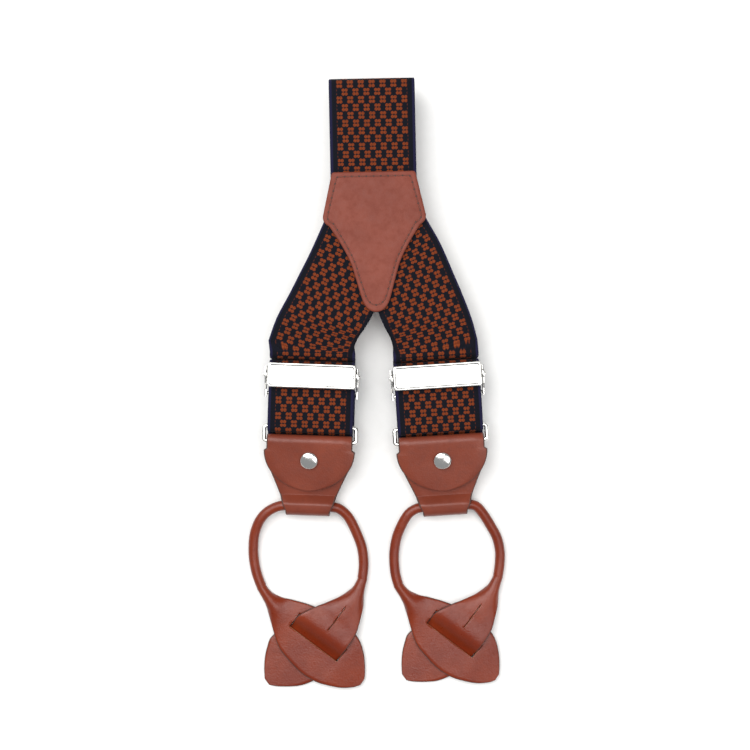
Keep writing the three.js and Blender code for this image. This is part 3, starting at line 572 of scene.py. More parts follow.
def leg_corners():
    """The folds of a leg, from the dip down through the spare layers and up to the ring."""
    layer = lambda n: WEB_THICK / 2 + n * LAYER_PITCH
    corners = [(DIP_Y + DIP_RADIUS, DIP_HEIGHT, 0), (DIP_Y, DIP_HEIGHT, DIP_RADIUS),
               (DIP_Y, layer(0), LAYER_PITCH)]
    for n in range(SPARE_LAYERS - 1):
        end = SPARE_BOTTOM if n % 2 == 0 else SPARE_TOP
        corners += [(end, layer(n), LAYER_PITCH / 2), (end, layer(n + 1), LAYER_PITCH / 2)]
    corners += [
        (SPARE_TOP, layer(SPARE_LAYERS - 1), LAYER_PITCH / 2), (SPARE_TOP, RUN_Z, LAYER_PITCH),
        (BAR_Y - 7, RUN_Z, 2), (RING_BAR_Y + 0.4, RING_Z + WIRE_WRAP, 2),
        (RING_BAR_Y - WIRE_WRAP, RING_Z + WIRE_WRAP, WIRE_WRAP),
        (RING_BAR_Y - WIRE_WRAP, RETURN_Z, WIRE_WRAP), (RING_BAR_Y + 0.6, RETURN_Z, 0),
    ]
    return corners


def front_strap(side):
    """The diagonal and the folded leg as one strip of webbing."""
    upper, upper_uvs, length = diagonal_sections(side)
    path = with_places(rounded_path(leg_corners()), 6.0)
    leg, leg_uvs = folded_sections(path, WEB_THICK, lambda i, here: WEB_WIDTH / 2, run=length)
    frame_of_leg = leg_matrix(side)
    leg = [[tuple(frame_of_leg @ Vector(point)) for point in row] for row in leg]
    built = skin(upper + leg, upper_uvs + leg_uvs)
    return outward(mesh_object(f"{side} front strap webbing", *built, ["webbing"],
                               Matrix.Identity(4)))


def return_strand(side):
    """The webbing from the ring back and around the adjuster's bar."""
    top = BAR_Z + BAR_WRAP
    corners = [
        (RING_BAR_Y + 1.0, RETURN_Z, 0), (BAR_Y + BAR_WRAP, RETURN_Z, BAR_WRAP),
        (BAR_Y + BAR_WRAP, top, BAR_WRAP),
        (BAR_Y - 3, top, 2), (BAR_Y - 5.4, top - 0.9, 2), (BAR_Y - 7.6, top - 1.3, 0),
    ]
    path = with_places(rounded_path(corners), 2.0)
    shift = 0.5 if side == "left" else 0.0
    built = skin(*folded_sections(path, WEB_THICK, lambda i, here: WEB_WIDTH / 2, shift))
    return outward(mesh_object(f"{side} return strand webbing", *built, ["webbing"],
                               leg_matrix(side)))


def back_strap():
    """The strap from the yoke, its spare runs and the fold around the back ring."""
    bar = BACK_RING_Y + RING_BAR_Y
    top, low = BACK_END_Z + WIRE_WRAP, BACK_END_Z - WIRE_WRAP
    second = YOKE_BACK_Z - YOKE_LEATHER - FIT_GAP - WEB_THICK / 2
    third = second - LAYER_PITCH
    turn = (YOKE_STRAP_Z - second) / 2
    corners = [
        (BACK_STRAP_END, YOKE_STRAP_Z, 0), (BACK_STRAP_TOP, YOKE_STRAP_Z, turn),
        (BACK_STRAP_TOP, second, turn),
        (-24, second, LAYER_PITCH / 2), (-24, third, LAYER_PITCH / 2),
        (BACK_STRAP_TOP - 1, third, (third - top) / 2),
        (BACK_STRAP_TOP - 1, top, (third - top) / 2), (bar - WIRE_WRAP, top, WIRE_WRAP),
        (bar - WIRE_WRAP, low, WIRE_WRAP), (bar + 3, low, 0),
    ]
    path = with_places(rounded_path(corners), 6.0)
    built = skin(*folded_sections(path, WEB_THICK, lambda i, here: WEB_WIDTH / 2, run=2.0))
    return outward(mesh_object("back strap webbing", *built, ["webbing"], back_matrix()))


def is_edge(i):
    """Whether side i of a section_profile is one of its rounded edges."""
    return 8 <= i <= 11 or 20 <= i <= 23


TAPER = [(0, WRAP_HALF), (-12.4, 16.2), (-19.8, 13.1), (-24.3, 11.3), (-28.8, TUNNEL_HALF + 0.2),
         (-60, TUNNEL_HALF)]


def leather_end(side):
    """The folded leather: round flap, fold over the ring, tapered back, tunnel and tongue."""
    wrap = LEATHER_WRAP
    corners = [
        (TUNNEL_Y + 7.4, wrap, 0), (wrap, wrap, wrap), (wrap, -wrap, wrap),
        (TUNNEL_Y - TUNNEL_WRAP, -wrap, TUNNEL_WRAP),
        (TUNNEL_Y - TUNNEL_WRAP, TUNNEL_Z + TUNNEL_WRAP, TUNNEL_WRAP),
        (TUNNEL_Y + 1.9, TUNNEL_Z + TUNNEL_WRAP, 0.8), (TUNNEL_Y + 4.4, 0, 1), (-5, 0, 0),
    ]
    path = with_places(rounded_path(corners), 0.9)
    start = TUNNEL_Y + 7.4
    close = [path[0] + np.array([d, 0.0]) for d in (0.05, 0.18, 0.42)]
    path = [path[0]] + close + path[1:]
    fold = max(range(len(path)), key=lambda i: path[i][0])
    middle = start + FLAP_DEPTH

    def half_at(i, here):
        if i >= fold:
            places = [p[0] for p in reversed(TAPER)]
            return float(np.interp(here[0], places, [p[1] for p in reversed(TAPER)]))
        if here[0] > middle:
            return WRAP_HALF
        share = min((middle - here[0]) / FLAP_DEPTH, 0.9985)
        return FLAP_HALF * math.sqrt(1 - share * share)

    sections, uvs = folded_sections(path, LEATHER_THICK, half_at)
    for row, here, i in zip(sections, path, range(len(path))):
        if i < fold:
            for k, (x, y, z) in enumerate(row):
                away = math.hypot(x, y - RIVET_Y)
                press = 0.35 * math.exp(-((away / 5.2) ** 2))
                row[k] = (x, y, z - press)
    built = skin(sections, uvs, edge_from=is_edge)
    return outward(mesh_object(f"{side} leather end", *built, ["end", "edge"],
                               leather_matrix(side)))


def rounded_outline(width, length, corner, arc=8):
    """A rectangle with round corners."""
    points = []
    for cx, cy, start in ((1, -1, -90), (1, 1, 0), (-1, 1, 90), (-1, -1, 180)):
        for k in range(arc + 1):
            angle = math.radians(start + 90 * k / arc)
            x = cx * (width / 2 - corner) + corner * math.cos(angle)
            points.append((x, cy * (length / 2 - corner) + corner * math.sin(angle)))
    return points


def tube(path, radius, sides, closed):
    """Circular sections along a path of 3-D places."""
    sections = []
    for i, here in enumerate(path):
        before = path[i - 1] if closed or i else path[0]
        after = path[(i + 1) % len(path)] if closed or i + 1 < len(path) else path[-1]
        along = (Vector(after) - Vector(before)).normalized()
        across = Vector((along.y, -along.x, 0)).normalized()
        up = across.cross(along).normalized()
        size = radius(i) if callable(radius) else radius
        turns = [2 * math.pi * k / sides for k in range(sides)]
        sections.append([tuple(Vector(here) + across * size * math.cos(t)
                               + up * size * math.sin(t)) for t in turns])
    uvs = [[(k, i) for k in range(sides)] for i in range(len(path))]
    return skin(sections, uvs, closed=closed)


def wire_ring(side):
    """The bent wire of a ring."""
    outline = rounded_outline(RING_OUTER_X - RING_WIRE, 2 * RING_BAR_Y, RING_CORNER, 6)
    path = []
    for i, (x, y) in enumerate(outline):
        following = outline[(i + 1) % len(outline)]
        span = math.dist((x, y), following)
        parts = max(1, round(span / 3.0))
        path += [(x + (following[0] - x) * k / parts, y + (following[1] - y) * k / parts, 0)
                 for k in range(parts)]
    built = tube(path, RING_WIRE / 2, 20, True)
    return outward(mesh_object(f"{side} wire ring", *built, ["nickel"], ring_matrix(side)))


def lathe(name, profile, matrix, key, sides=48):
    """Turns a profile of (radius, height) about the piece's own Z."""
    turns = [2 * math.pi * k / sides for k in range(sides)]
    sections = [[(r * math.cos(t), r * math.sin(t), z) for t in turns] for r, z in profile]
    uvs = [[(k, i) for k in range(sides)] for i in range(len(profile))]
    return outward(mesh_object(name, *skin(sections, uvs), [key], matrix))


def rivet(side):
    """The domed cap and the flange of a rivet."""
    top = LEATHER_WRAP + LEATHER_THICK / 2 + 0.2
    place = leather_matrix(side) @ Matrix.Translation((0, RIVET_Y, top))
    dome = [(0.05, -0.3), (3.3, -0.3), (3.62, -0.12), (3.7, 0.1), (3.62, 0.35)]
    dome += [(RIVET_RADIUS * math.cos(a), 0.3 + 1.2 * math.sin(a))
             for a in np.linspace(0.25, 1.54, 9)]
    cap = lathe(f"{side} domed rivet cap", dome, place, "nickel")
    flange = [(0.05, 0.0), (1.0, 0.0), (1.05, 0.05), (3.0, 0.05), (3.2, -0.15), (3.2, -0.6),
              (3.0, -0.8), (0.05, -0.8)]
    low = leather_matrix(side) @ Matrix.Translation((0, RIVET_Y, -top))
    post = lathe(f"{side} rivet post", flange, low, "nickel")
    return cap, post


def slab_mesh(size, centre):
    """A box as a shell that append_shell can add."""
    signs = [(x, y, z) for x in (-1, 1) for y in (-1, 1) for z in (-1, 1)]
    vertices = [tuple(c + s * w / 2 for c, s, w in zip(centre, sign, size)) for sign in signs]
    faces = [(0, 1, 3, 2), (4, 6, 7, 5), (0, 4, 5, 1), (2, 3, 7, 6), (0, 2, 6, 4), (1, 5, 7, 3)]
    return vertices, faces, [(0, 0)] * len(vertices), [0] * len(faces)


def adjuster_cover(side):
    """The lever plate with its rolled rim, its pin cheeks and its gripping edge."""
    width, length, thick = COVER_SIZE
    low = RUN_TOP + 1.95
    rings = [
        (1.0, 0.0), (0.25, 0.0), (0.0, 0.25), (0.0, thick - 0.4), (0.12, thick - 0.15),
        (0.4, thick),
        (0.75, thick - 0.02), (1.0, thick - 0.2), (1.3, thick - 0.3), (2.6, thick - 0.22),
        (4.6, thick - 0.16),
    ]
    sections = []
    for inset, height in rings:
        corner = max(COVER_CORNER - inset * 0.6, 0.25)
        outline = rounded_outline(width - 2 * inset, length - 2 * inset, corner)
        sections.append([(x, y + ADJUSTER_Y, low + height) for x, y in outline])
    uvs = [[point[:2] for point in row] for row in sections]
    shell = skin(sections, uvs)
    for x in (-width / 2 + 0.4, width / 2 - 0.4):
        append_shell(shell, slab_mesh((0.8, 3.2, 1.9), (x, ADJUSTER_Y, low - 0.6)))
    append_shell(shell, slab_mesh((WEB_WIDTH - 3, 1.0, 1.9), (0, ADJUSTER_Y - 2.6, low - 0.65)))
    piece = mesh_object(f"{side} adjuster lever", *shell, ["nickel"], leg_matrix(side))
    soften(piece, 0.12)
    return outward(piece)


def soften(piece, width):
    """Rounds a piece's sharp edges."""
    bevel = piece.modifiers.new("rounded edges", "BEVEL")
    bevel.width = width * MM
    bevel.segments = 3
    bevel.limit_method = "ANGLE"
    bevel.angle_limit = math.radians(38)
    bevel.harden_normals = True


def dress_node(name, key, width):
    """Gives a CAD piece its finish and rounded edges."""
    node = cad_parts[name]
    node.data.materials.clear()
    node.data.materials.append(material(key))
    for polygon in node.data.polygons:
        polygon.use_smooth = True
    weld = node.modifiers.new("joined corners", "WELD")
    weld.merge_threshold = 0.002 * MM
    soften(node, width)
    return node


# ---------------------------------------------------------------- rolled loops and button tabs

ROLL_CURL = math.radians(325)
ROLL_RADIUS = CORD_RADIUS - ROLL_THICK / 2
FLAT = 0.02
TAB_A = [
    (-16.2, -44.5, -12.2, -38.3, 2.5, 2.2), (-14.4, -51.3, -7, -39.3, 2.75, 0.5),
    (-11.9, -58.6, 0, -41.2, 2.8, 0.1),
    (-7.4, -64.4, 6.1, -43.9, 2.8, FLAT), (-2.5, -69.3, 12.3, -48, 2.8, FLAT),
    (2.9, -72.6, 18, -52.1, 2.8, FLAT),
    (7.8, -74.2, 21.3, -56.6, 2.8, FLAT), (13.9, -75.4, 23, -62.7, 2.3, FLAT),
    (18.9, -75.2, 23.4, -68.9, 1.7, FLAT),
    (21.7, -74.4, 23.2, -72.2, 1.4, FLAT),
]
SLIT_START, SLIT_END, SLIT_OPENING = (-7.8, -50.0), (11.9, -64.8), 6.5
SLIT_SIDE, SLIT_ALONG = (0.6, 0.8), (0.8, -0.6)


def slit_place(end, inset, rise):
    """A place beside the slit, from one of its ends."""
    return tuple(end[k] + SLIT_ALONG[k] * inset + SLIT_SIDE[k] * rise for k in (0, 1))


def slit_row(rise, height):
    """Tab B where it passes through the slit."""
    return (*slit_place(SLIT_START, 0.5, rise), *slit_place(SLIT_END, -0.5, rise), height, FLAT)


TAB_B = [
    (15.6, -36.8, 22.4, -41, 3.5, 2.2), (7.8, -40.2, 20.9, -48.4, 4.4, 0.5),
    (3.2, -41.9, 19.3, -53.3, 4.6, 0.1),
    slit_row(SLIT_OPENING - 0.5, 4.6), slit_row(0.5, 0.9),
    (-12.3, -52.5, 6.6, -69.7, 0.9, FLAT), (-15.6, -55.4, 2.1, -72.6, 0.9, FLAT),
    (-16.8, -58.6, -2.5, -74.4, 0.9, FLAT),
    (-17.8, -62.7, -6.6, -75, 0.9, FLAT), (-18.2, -67.7, -12.7, -75, 0.9, FLAT),
    (-18, -72.2, -16.4, -74.4, 0.9, FLAT),
]
ROLL_ENDS = ((-17.6, -37.3, 2.35), (21.7, -34, 2.6))
LOOPS = {
    "left": {
        "scale": (1, 1),
        "left": [(-13.8, -0.6, 5.3), (-17.4, -2.8, 4.9), (-20.2, -6.2, 4.4), (-22.2, -11.5, 3.5),
                 (-22.8, -17, 2.8),
                 (-22.6, -22.1, 2.4), (-21.6, -27.5, 2.3), (-19.9, -32.4, 2.3)],
        "right": [(13.4, -1.4, 5.3), (16.8, -4.7, 4.8), (20, -11.1, 3.6), (22.1, -16.8, 2.9),
                  (22.9, -22.1, 2.5),
                  (22.8, -27.5, 2.4)],
    },
    "right": {
        "scale": (0.97, 0.975),
        "left": [(-13, -1.7, 5.3), (-15.9, -4.4, 4.9), (-19.4, -11.6, 3.6), (-20.8, -18.3, 2.7),
                 (-20.9, -23.6, 2.4),
                 (-20.3, -28.9, 2.3), (-18.9, -33.4, 2.3)],
        "right": [(13, 0, 5.3), (15.9, -3.2, 4.9), (18.9, -8, 4.2), (21.6, -13, 3.3),
                  (22.9, -18.3, 2.7),
                  (23, -22.8, 2.4), (22.4, -28, 2.4)],
    },
    "back": {
        "scale": (0.66, 0.88),
        "left": [(-12.6, -0.3, 6.4), (-14.2, -4.2, 4.2), (-14.3, -9, 2.3), (-14.3, -17, 2.1),
                 (-14.2, -24, 2.2)],
        "right": [(12.6, -0.3, 6.4), (14.2, -4.2, 4.2), (14.3, -9, 2.3), (14.3, -17, 2.1),
                  (14.2, -24, 2.2)],
    },
}


def loop_matrix(side):
    """A loop lies flat below the middle of its tunnel."""
    droop = math.radians(LEATHER_DROOP)
    if side == "back":
        move = Matrix.Translation((0, BACK_RING_Y - RING_BAR_Y + TUNNEL_Y, 0))
        return back_matrix() @ move @ Matrix.Rotation(math.pi, 4, "Z")
    reach = RING_BAR_Y - (TUNNEL_Y * math.cos(droop) - TUNNEL_Z * math.sin(droop))
    place = leg_matrix(side) @ Vector((0, -reach, 0))
    return Matrix.Translation(place)


def loop_path(side):
    """The cord's middle, from tab A up the left side, through the tunnel and down to tab B."""
    data = LOOPS[side]
    droop = math.radians(LEATHER_DROOP)
    turn = 0.0 if side == "back" else leg_matrix(side).to_euler().z
    height = BACK_END_Z - TUNNEL_Z
    if side != "back":
        height = RING_Z + TUNNEL_Y * math.sin(droop) + TUNNEL_Z * math.cos(droop)
    mouth = Matrix.Rotation(turn, 3, "Z") @ Vector((TUNNEL_HALF + 0.8, 0, 0))
    ends = [(x * data["scale"][0], y * data["scale"][1], z) for x, y, z in ROLL_ENDS]
    points = [ends[0], *reversed(data["left"]), (-mouth.x, -mouth.y, height), (0, 0, height)]
    points += [(mouth.x, mouth.y, height), *data["right"], ends[1]]
    smooth = smooth_rows(points, 12)
    lengths = np.concatenate([[0],
                              np.cumsum([np.linalg.norm(b - a)
                                         for a, b in zip(smooth, smooth[1:])])])
    steps = np.linspace(0, lengths[-1], max(12, round(lengths[-1] / 1.4)))
    return [np.array([np.interp(s, lengths, [p[k] for p in smooth]) for k in range(3)])
            for s in steps]


def strip_row(centre, across, chord, curl, thick, columns=20):
    """One closed section of the leather strip: an arc with rounded edges."""
    radius = chord / 2 / math.sin(curl / 2)
    lift = radius * (1 + math.cos(curl / 2)) / 2
    up = np.array([0, 0, 1.0])

    def at(angle, offset):
        return centre + across * (radius
                                  + offset) * math.sin(angle) + up * ((radius
                                                                       + offset) * math.cos(angle)
                                                                       - lift)

    half = thick / 2
    spread = [curl * (i / columns - 0.5) for i in range(columns + 1)]
    bulge = min(half * 0.5 / max(radius, 1e-6), 0.12)
    row = [at(a, half) for a in spread]
    row += [at(curl / 2 + bulge * math.sin(math.pi * k / 3), half * math.cos(math.pi * k / 3))
            for k in (1, 2)]
    row += [at(a, -half) for a in reversed(spread)]
    row += [at(-curl / 2 - bulge * math.sin(math.pi * k / 3), -half * math.cos(math.pi * k / 3))
            for k in (1, 2)]
    return np.array(row)


def tab_rows(rows, scale, turned):
    """The sections of a button tab."""
    made = []
    for lx, ly, rx, ry, height, curl in rows:
        left = np.array([lx * scale[0], ly * scale[1], height])
        right = np.array([rx * scale[0], ry * scale[1], height])
        if turned:
            left, right = right, left
        across = right - left
        chord = float(np.linalg.norm(across))
        made.append(strip_row((left + right) / 2, across / chord, chord, curl, TAB_THICK))
    return made


def rolled_rows(path):
    """The sections of the rolled leather."""
    chord = 2 * ROLL_RADIUS * math.sin(ROLL_CURL / 2)
    made = []
    for i, here in enumerate(path):
        along = path[min(i + 1, len(path) - 1)] - path[max(i - 1, 0)]
        across = np.array([-along[1], along[0], 0.0])
        made.append(strip_row(here, across / np.linalg.norm(across), chord, ROLL_CURL, ROLL_THICK))
    return made


def strip_edge(i):
    """Whether side i of a strip_row is one of its rounded edges."""
    return 20 <= i <= 22 or i >= 43


def cut(piece, corners, low, high, matrix):
    """Cuts a slot with the given outline through a piece; its walls take the third material."""
    count = len(corners)
    vertices = [(*corner, low) for corner in corners] + [(*corner, high) for corner in corners]
    faces = [tuple(reversed(range(count))), tuple(range(count, 2 * count))]
    faces += [(i, (i + 1) % count, count + (i + 1) % count, count + i) for i in range(count)]
    cutter = mesh_object("slot", vertices, faces, [(0, 0)] * 2 * count, [2] * len(faces),
                         ["tab", "edge", "slit"],
                         matrix)
    outward(cutter)
    boolean = piece.modifiers.new("slot", "BOOLEAN")
    boolean.operation = "DIFFERENCE"
    boolean.solver = "EXACT"
    boolean.object = cutter
    bpy.context.view_layer.update()
    result = piece.evaluated_get(bpy.context.evaluated_depsgraph_get())
    done = bpy.data.meshes.new_from_object(result)
    piece.modifiers.clear()
    piece.data = done
    bpy.data.objects.remove(cutter)


def slot_outline(middle, length, width, angle):
    """A slot with round ends."""
    points = []
    for start, sign in ((-90, 1), (90, -1)):
        for k in range(9):
            turn = math.radians(start + 180 * k / 8)
            x = sign * (length - width) / 2 + width / 2 * math.cos(turn)
            y = width / 2 * math.sin(turn)
            c, s = math.cos(angle), math.sin(angle)
            points.append((middle[0] + x * c - y * s, middle[1] + x * s + y * c))
    return points


def button_loop(side):
    """The rolled leather and its two plaited tabs, in two lengths that meet inside the tunnel."""
    scale = LOOPS[side]["scale"]
    path = loop_path(side)
    rolled = rolled_rows(path)
    middle = min(range(len(path)), key=lambda i: float(np.hypot(path[i][0], path[i][1])))
    first = tab_rows(TAB_A, scale, True)[::-1]
    last = tab_rows(TAB_B, scale, False)
    row_a = smooth_rows(first + rolled[2:4], 5)[:-1] + rolled[3:middle + 1]
    row_b = rolled[middle:-3] + smooth_rows(rolled[-4:-2] + last, 5)[1:]
    pieces = []
    for tag, rows in (("A", row_a), ("B", row_b)):
        uvs = [[(k, i) for k in range(len(rows[0]))] for i in range(len(rows))]
        built = skin([[tuple(p) for p in row] for row in rows], uvs, edge_from=strip_edge)
        piece = mesh_object(f"{side} rolled loop {tag}", *built, ["tab", "edge", "slit"],
                            loop_matrix(side))
        pieces.append(outward(piece))
    return pieces


BUTTONHOLE_PLACE = (11.9, -46.6)
BUTTONHOLE_LENGTH = 11.7
BUTTONHOLE_WIDTH = 0.35
BUTTONHOLE_TURN = math.radians(53.5)


def open_tabs(side, pieces):
    """The slit that one tab passes through, and the buttonhole of the other."""
    scale = LOOPS[side]["scale"]
    corners = [slit_place(SLIT_START, 0, 0), slit_place(SLIT_END, 0, 0),
               slit_place(SLIT_END, 0, SLIT_OPENING), slit_place(SLIT_START, 0, SLIT_OPENING)]
    cut(pieces[0], [(x * scale[0], y * scale[1]) for x, y in corners], -3, 12, loop_matrix(side))
    middle = (BUTTONHOLE_PLACE[0] * scale[0], BUTTONHOLE_PLACE[1] * scale[1])
    cut(pieces[1], slot_outline(middle, BUTTONHOLE_LENGTH, BUTTONHOLE_WIDTH, BUTTONHOLE_TURN), 2.2,
        12,
        loop_matrix(side))


def loop_core(side):
    """The cord inside the rolled leather."""
    path = [tuple(p) for p in loop_path(side)]
    built = tube(path, ROLL_RADIUS - ROLL_THICK / 2 - 0.1, 12, False)
    return outward(mesh_object(f"{side} cord core", *built, ["cord"], loop_matrix(side)))


# ---------------------------------------------------------------- yoke


def curve_points(kind, corners, parts):
    """Places along a quadratic (2) or cubic (3) curve."""
    points = []
    for k in range(1, parts + 1):
        t = k / parts
        if kind == 2:
            weights = ((1 - t) ** 2, 2 * t * (1 - t), t * t)
        else:
            weights = ((1 - t) ** 3, 3 * t * (1 - t) ** 2, 3 * t * t * (1 - t), t ** 3)
        points.append(tuple(sum(w * c[a] for w, c in zip(weights, corners)) for a in (0, 1)))
    return points


def yoke_outline(inset):
    """The yoke's outline moved inwards, with the same number of points for every inset."""
    top, side, corner, wing = 27.3 - inset, 17.1 - inset, 1.3, 20.9 - inset
    tip = -29.7 + 1.5 * inset
    neck = (8.9 - 0.9 * inset, -13.2)
    foot = (6.1 - 0.9 * inset, -23.2 + 0.3 * inset)
    shoulder = (wing - 2.4, 5.4 + 0.5 * inset)
    half = [(side * k / 6 * (1 - corner / side), top) for k in range(0, 7)]
    half += curve_points(2, [(side - corner, top), (side, top), (side + 0.1, top - corner)], 4)
    half += [(side + 0.1 + (wing - side - 0.1) * k / 6,
              top - corner + (9.6 - top + corner) * k / 6) for k in range(1, 7)]
    half += curve_points(2, [(wing, 9.6), (wing + 0.3, 6.8 + 0.4 * inset), shoulder], 6)
    half += curve_points(3, [shoulder, (14.8 - inset, -0.2), (10.2 - inset, -7.5), neck], 10)
    half += [(neck[0] + (foot[0] - neck[0]) * k / 4, neck[1] + (foot[1] - neck[1]) * k / 4)
             for k in range(1, 5)]
    half += curve_points(2, [foot, (4.4 - 0.8 * inset, tip), (0, tip)], 8)
    return half + [(-x, y) for x, y in reversed(half[1:-1])]


def yoke_plate(name, low, high, groove):
    """One leather half of the yoke, with a groove under its stitches."""
    rounds = [(2.6, low), (0.35, low), (0.05, low + 0.3), (0.0, (low + high) / 2),
              (0.05, high - 0.4), (0.3, high - 0.1)]
    rounds += [(0.7, high), (1.3, high - 0.02), (1.9, high - groove), (2.5, high - 0.02),
               (3.2, high), (5.0, high)]
    sections = [[(x, y, z) for x, y in yoke_outline(inset)] for inset, z in rounds]
    uvs = [[point[:2] for point in row] for row in sections]
    vertices, faces, flat_uvs, indices = skin(sections, uvs)
    count = len(sections[0])
    indices = [1 if 2 * count <= i < 4 * count else 0 for i in range(len(faces))]
    return outward(mesh_object(name, vertices, faces, flat_uvs, indices, ["yoke", "edge"],
                               back_matrix()))


STITCH_INSET = 1.9
STITCH_PITCH = 2.95


def yoke_stitches():
    """Separate stitches, each ending in a flat dark disc of painted shade that stands for its hole.
    """
    outline = yoke_outline(STITCH_INSET)
    outline.append(outline[0])
    lengths = np.concatenate([[0],
                              np.cumsum([math.dist(a, b) for a, b in zip(outline, outline[1:])])])
    count = round(lengths[-1] / STITCH_PITCH)
    pitch = lengths[-1] / count
    height = YOKE_FRONT_Z + YOKE_LEATHER - 0.12

    def at(s):
        s = s % lengths[-1]
        return [float(np.interp(s, lengths, [p[k] for p in outline])) for k in (0, 1)]

    threads, hole_shade_discs = [[], [], [], []], [[], [], [], []]
    for n in range(count):
        path = [(*at(n * pitch + t * pitch), height + 0.2 * math.sin(math.pi * t) - 0.1)
                for t in np.linspace(0.1, 0.9, 7)]
        sizes = [0.12, 0.2, 0.24, 0.25, 0.24, 0.2, 0.12]
        append_shell(threads, tube(path, lambda i: sizes[i], 8, False))
        # painted shade: each stitch hole is a small flat disc in the dark cut-edge leather colour,
        # sitting in the groove, standing in for the shade inside the hole
        x, y = at(n * pitch)
        rim = [[(x + r * math.cos(a), y + r * math.sin(a), z)
                for a in np.linspace(0, 2 * math.pi, 10, endpoint=False)]
               for r, z in ((0.1, height - 0.3), (0.42, height - 0.2), (0.4, height + 0.09),
                            (0.1, height + 0.11))]
        append_shell(hole_shade_discs, skin(rim, [[(0, 0)] * 10] * 4))
    matrix = back_matrix()
    made = mesh_object("yoke stitches", *threads, ["thread"], matrix)
    dark = mesh_object("yoke stitch holes", *hole_shade_discs, ["edge"], matrix)
    return outward(made), outward(dark)


def append_shell(total, shell):
    """Adds a shell's vertices, faces, UVs and material indices to another's."""
    vertices, faces, uvs, indices = shell
    start = len(total[0])
    total[0].extend(vertices)
    total[1].extend(tuple(i + start for i in face) for face in faces)
    total[2].extend(uvs)
    total[3].extend(indices)


def declare(piece, body, slot_name, *nodes):
    """Says which body a piece rides and which nodes it replaces; its slot name is not used."""
    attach(piece, body)
    if nodes:
        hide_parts(*nodes)


# ---------------------------------------------------------------- settings, operators and panel


class SuspendersSettings(bpy.types.PropertyGroup):
    left_leg_turn: bpy.props.FloatProperty(
        name="Left leg turn", description="Turn of the left leg on the floor",
        default=math.radians(-2), subtype="ANGLE", unit="ROTATION")
    right_leg_turn: bpy.props.FloatProperty(
        name="Right leg turn", description="Turn of the right leg on the floor",
        default=math.radians(3.7), subtype="ANGLE", unit="ROTATION")
    camera_height: bpy.props.FloatProperty(
        name="Camera height", description="Height of the camera above the floor",
        default=0.738, subtype="DISTANCE", unit="LENGTH")
    lens: bpy.props.FloatProperty(
        name="Lens", description="Focal length of the camera", default=85.0,
        subtype="DISTANCE_CAMERA", unit="CAMERA")
    key_power: bpy.props.FloatProperty(
        name="Key light", description="Power of the large soft light", default=5.0,
        subtype="POWER", unit="POWER")


def scene_settings():
    return bpy.context.scene.suspenders


SIDES = ("left", "right", "back")


class SUSPENDERS_OT_straps(bpy.types.Operator):
    """Build the webbing of the front straps, their return strands and the back strap"""

    bl_idname = "suspenders.straps"
    bl_label = "Build Straps"

    def execute(self, context):
        for side in ("left", "right"):
            declare(front_strap(side), "straps", "webbing", f"{side}_front_strap")
            strand = return_strand(side)
            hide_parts(f"{side}_return_strand")
            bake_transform(strand)
        declare(back_strap(), "straps", "webbing", "back_strap")
        return {"FINISHED"}


class SUSPENDERS_OT_yoke(bpy.types.Operator):
    """Build the two leather halves of the yoke and its stitching"""

    bl_idname = "suspenders.yoke"
    bl_label = "Build Yoke"

    def execute(self, context):
        upper = yoke_plate("yoke upper leather", YOKE_FRONT_Z, YOKE_FRONT_Z + YOKE_LEATHER, 0.22)
        lower = yoke_plate("yoke lining leather", YOKE_BACK_Z - YOKE_LEATHER, YOKE_BACK_Z, 0.0)
        declare(upper, "straps", "leather", "yoke_front")
        declare(lower, "straps", "leather", "yoke_back")
        stitches, hole_shade_discs = yoke_stitches()
        declare(stitches, "straps", "thread", "yoke_stitching")
        # the dark discs of painted shade at the stitch holes ride with the yoke
        declare(hole_shade_discs, "straps", "leather")
        return {"FINISHED"}


class SUSPENDERS_OT_adjusters(bpy.types.Operator):
    """Dress the sliding adjusters and build their lever plates"""

    bl_idname = "suspenders.adjusters"
    bl_label = "Build Adjusters"

    def execute(self, context):
        for side in ("left", "right"):
            declare(adjuster_cover(side), f"{side}_cover", "nickel", f"{side}_adjuster_cover")
            dress_node(f"{side}_adjuster_frame", "nickel", 0.18)
            dress_node(f"{side}_adjuster_bar", "nickel", 0.1)
            dress_node(f"{side}_cover_pin_outer", "nickel", 0.15)
            dress_node(f"{side}_cover_pin_inner", "nickel", 0.15)
        return {"FINISHED"}


class SUSPENDERS_OT_rings(bpy.types.Operator):
    """Build the polished wire rings"""

    bl_idname = "suspenders.rings"
    bl_label = "Build Rings"

    def execute(self, context):
        for side in SIDES:
            declare(wire_ring(side), f"{side}_wire_ring", "nickel", f"{side}_ring")
        return {"FINISHED"}


class SUSPENDERS_OT_leather_ends(bpy.types.Operator):
    """Build the folded leather ends and their rivets"""

    bl_idname = "suspenders.leather_ends"
    bl_label = "Build Leather Ends"

    def execute(self, context):
        for side in SIDES:
            body = f"{side}_leather"
            declare(leather_end(side), body, "leather", f"{side}_leather_end")
            cap, post = rivet(side)
            declare(cap, body, "nickel", f"{side}_rivet_cap")
            declare(post, body, "nickel", f"{side}_rivet_post")
        return {"FINISHED"}


class SUSPENDERS_OT_loops(bpy.types.Operator):
    """Build the rolled leather loops with their button tabs and cord cores"""

    bl_idname = "suspenders.loops"
    bl_label = "Build Loops"

    def execute(self, context):
        for side in SIDES:
            pieces = button_loop(side)
            open_tabs(side, pieces)
            for piece in pieces:
                declare(piece, f"{side}_loop", "leather", f"{side}_button_loop")
            declare(loop_core(side), f"{side}_loop", "cord_core", f"{side}_loop_core")
        return {"FINISHED"}


def area_light(name, place, size, power):
    light = bpy.data.lights.new(name, "AREA")
    light.shape = "RECTANGLE"
    light.size, light.size_y = size
    light.energy = power
    made = bpy.data.objects.new(name, light)
    made.location = place
    made.rotation_euler = (-Vector(place)).to_track_quat("-Z", "Y").to_euler()
    bpy.context.scene.collection.objects.link(made)


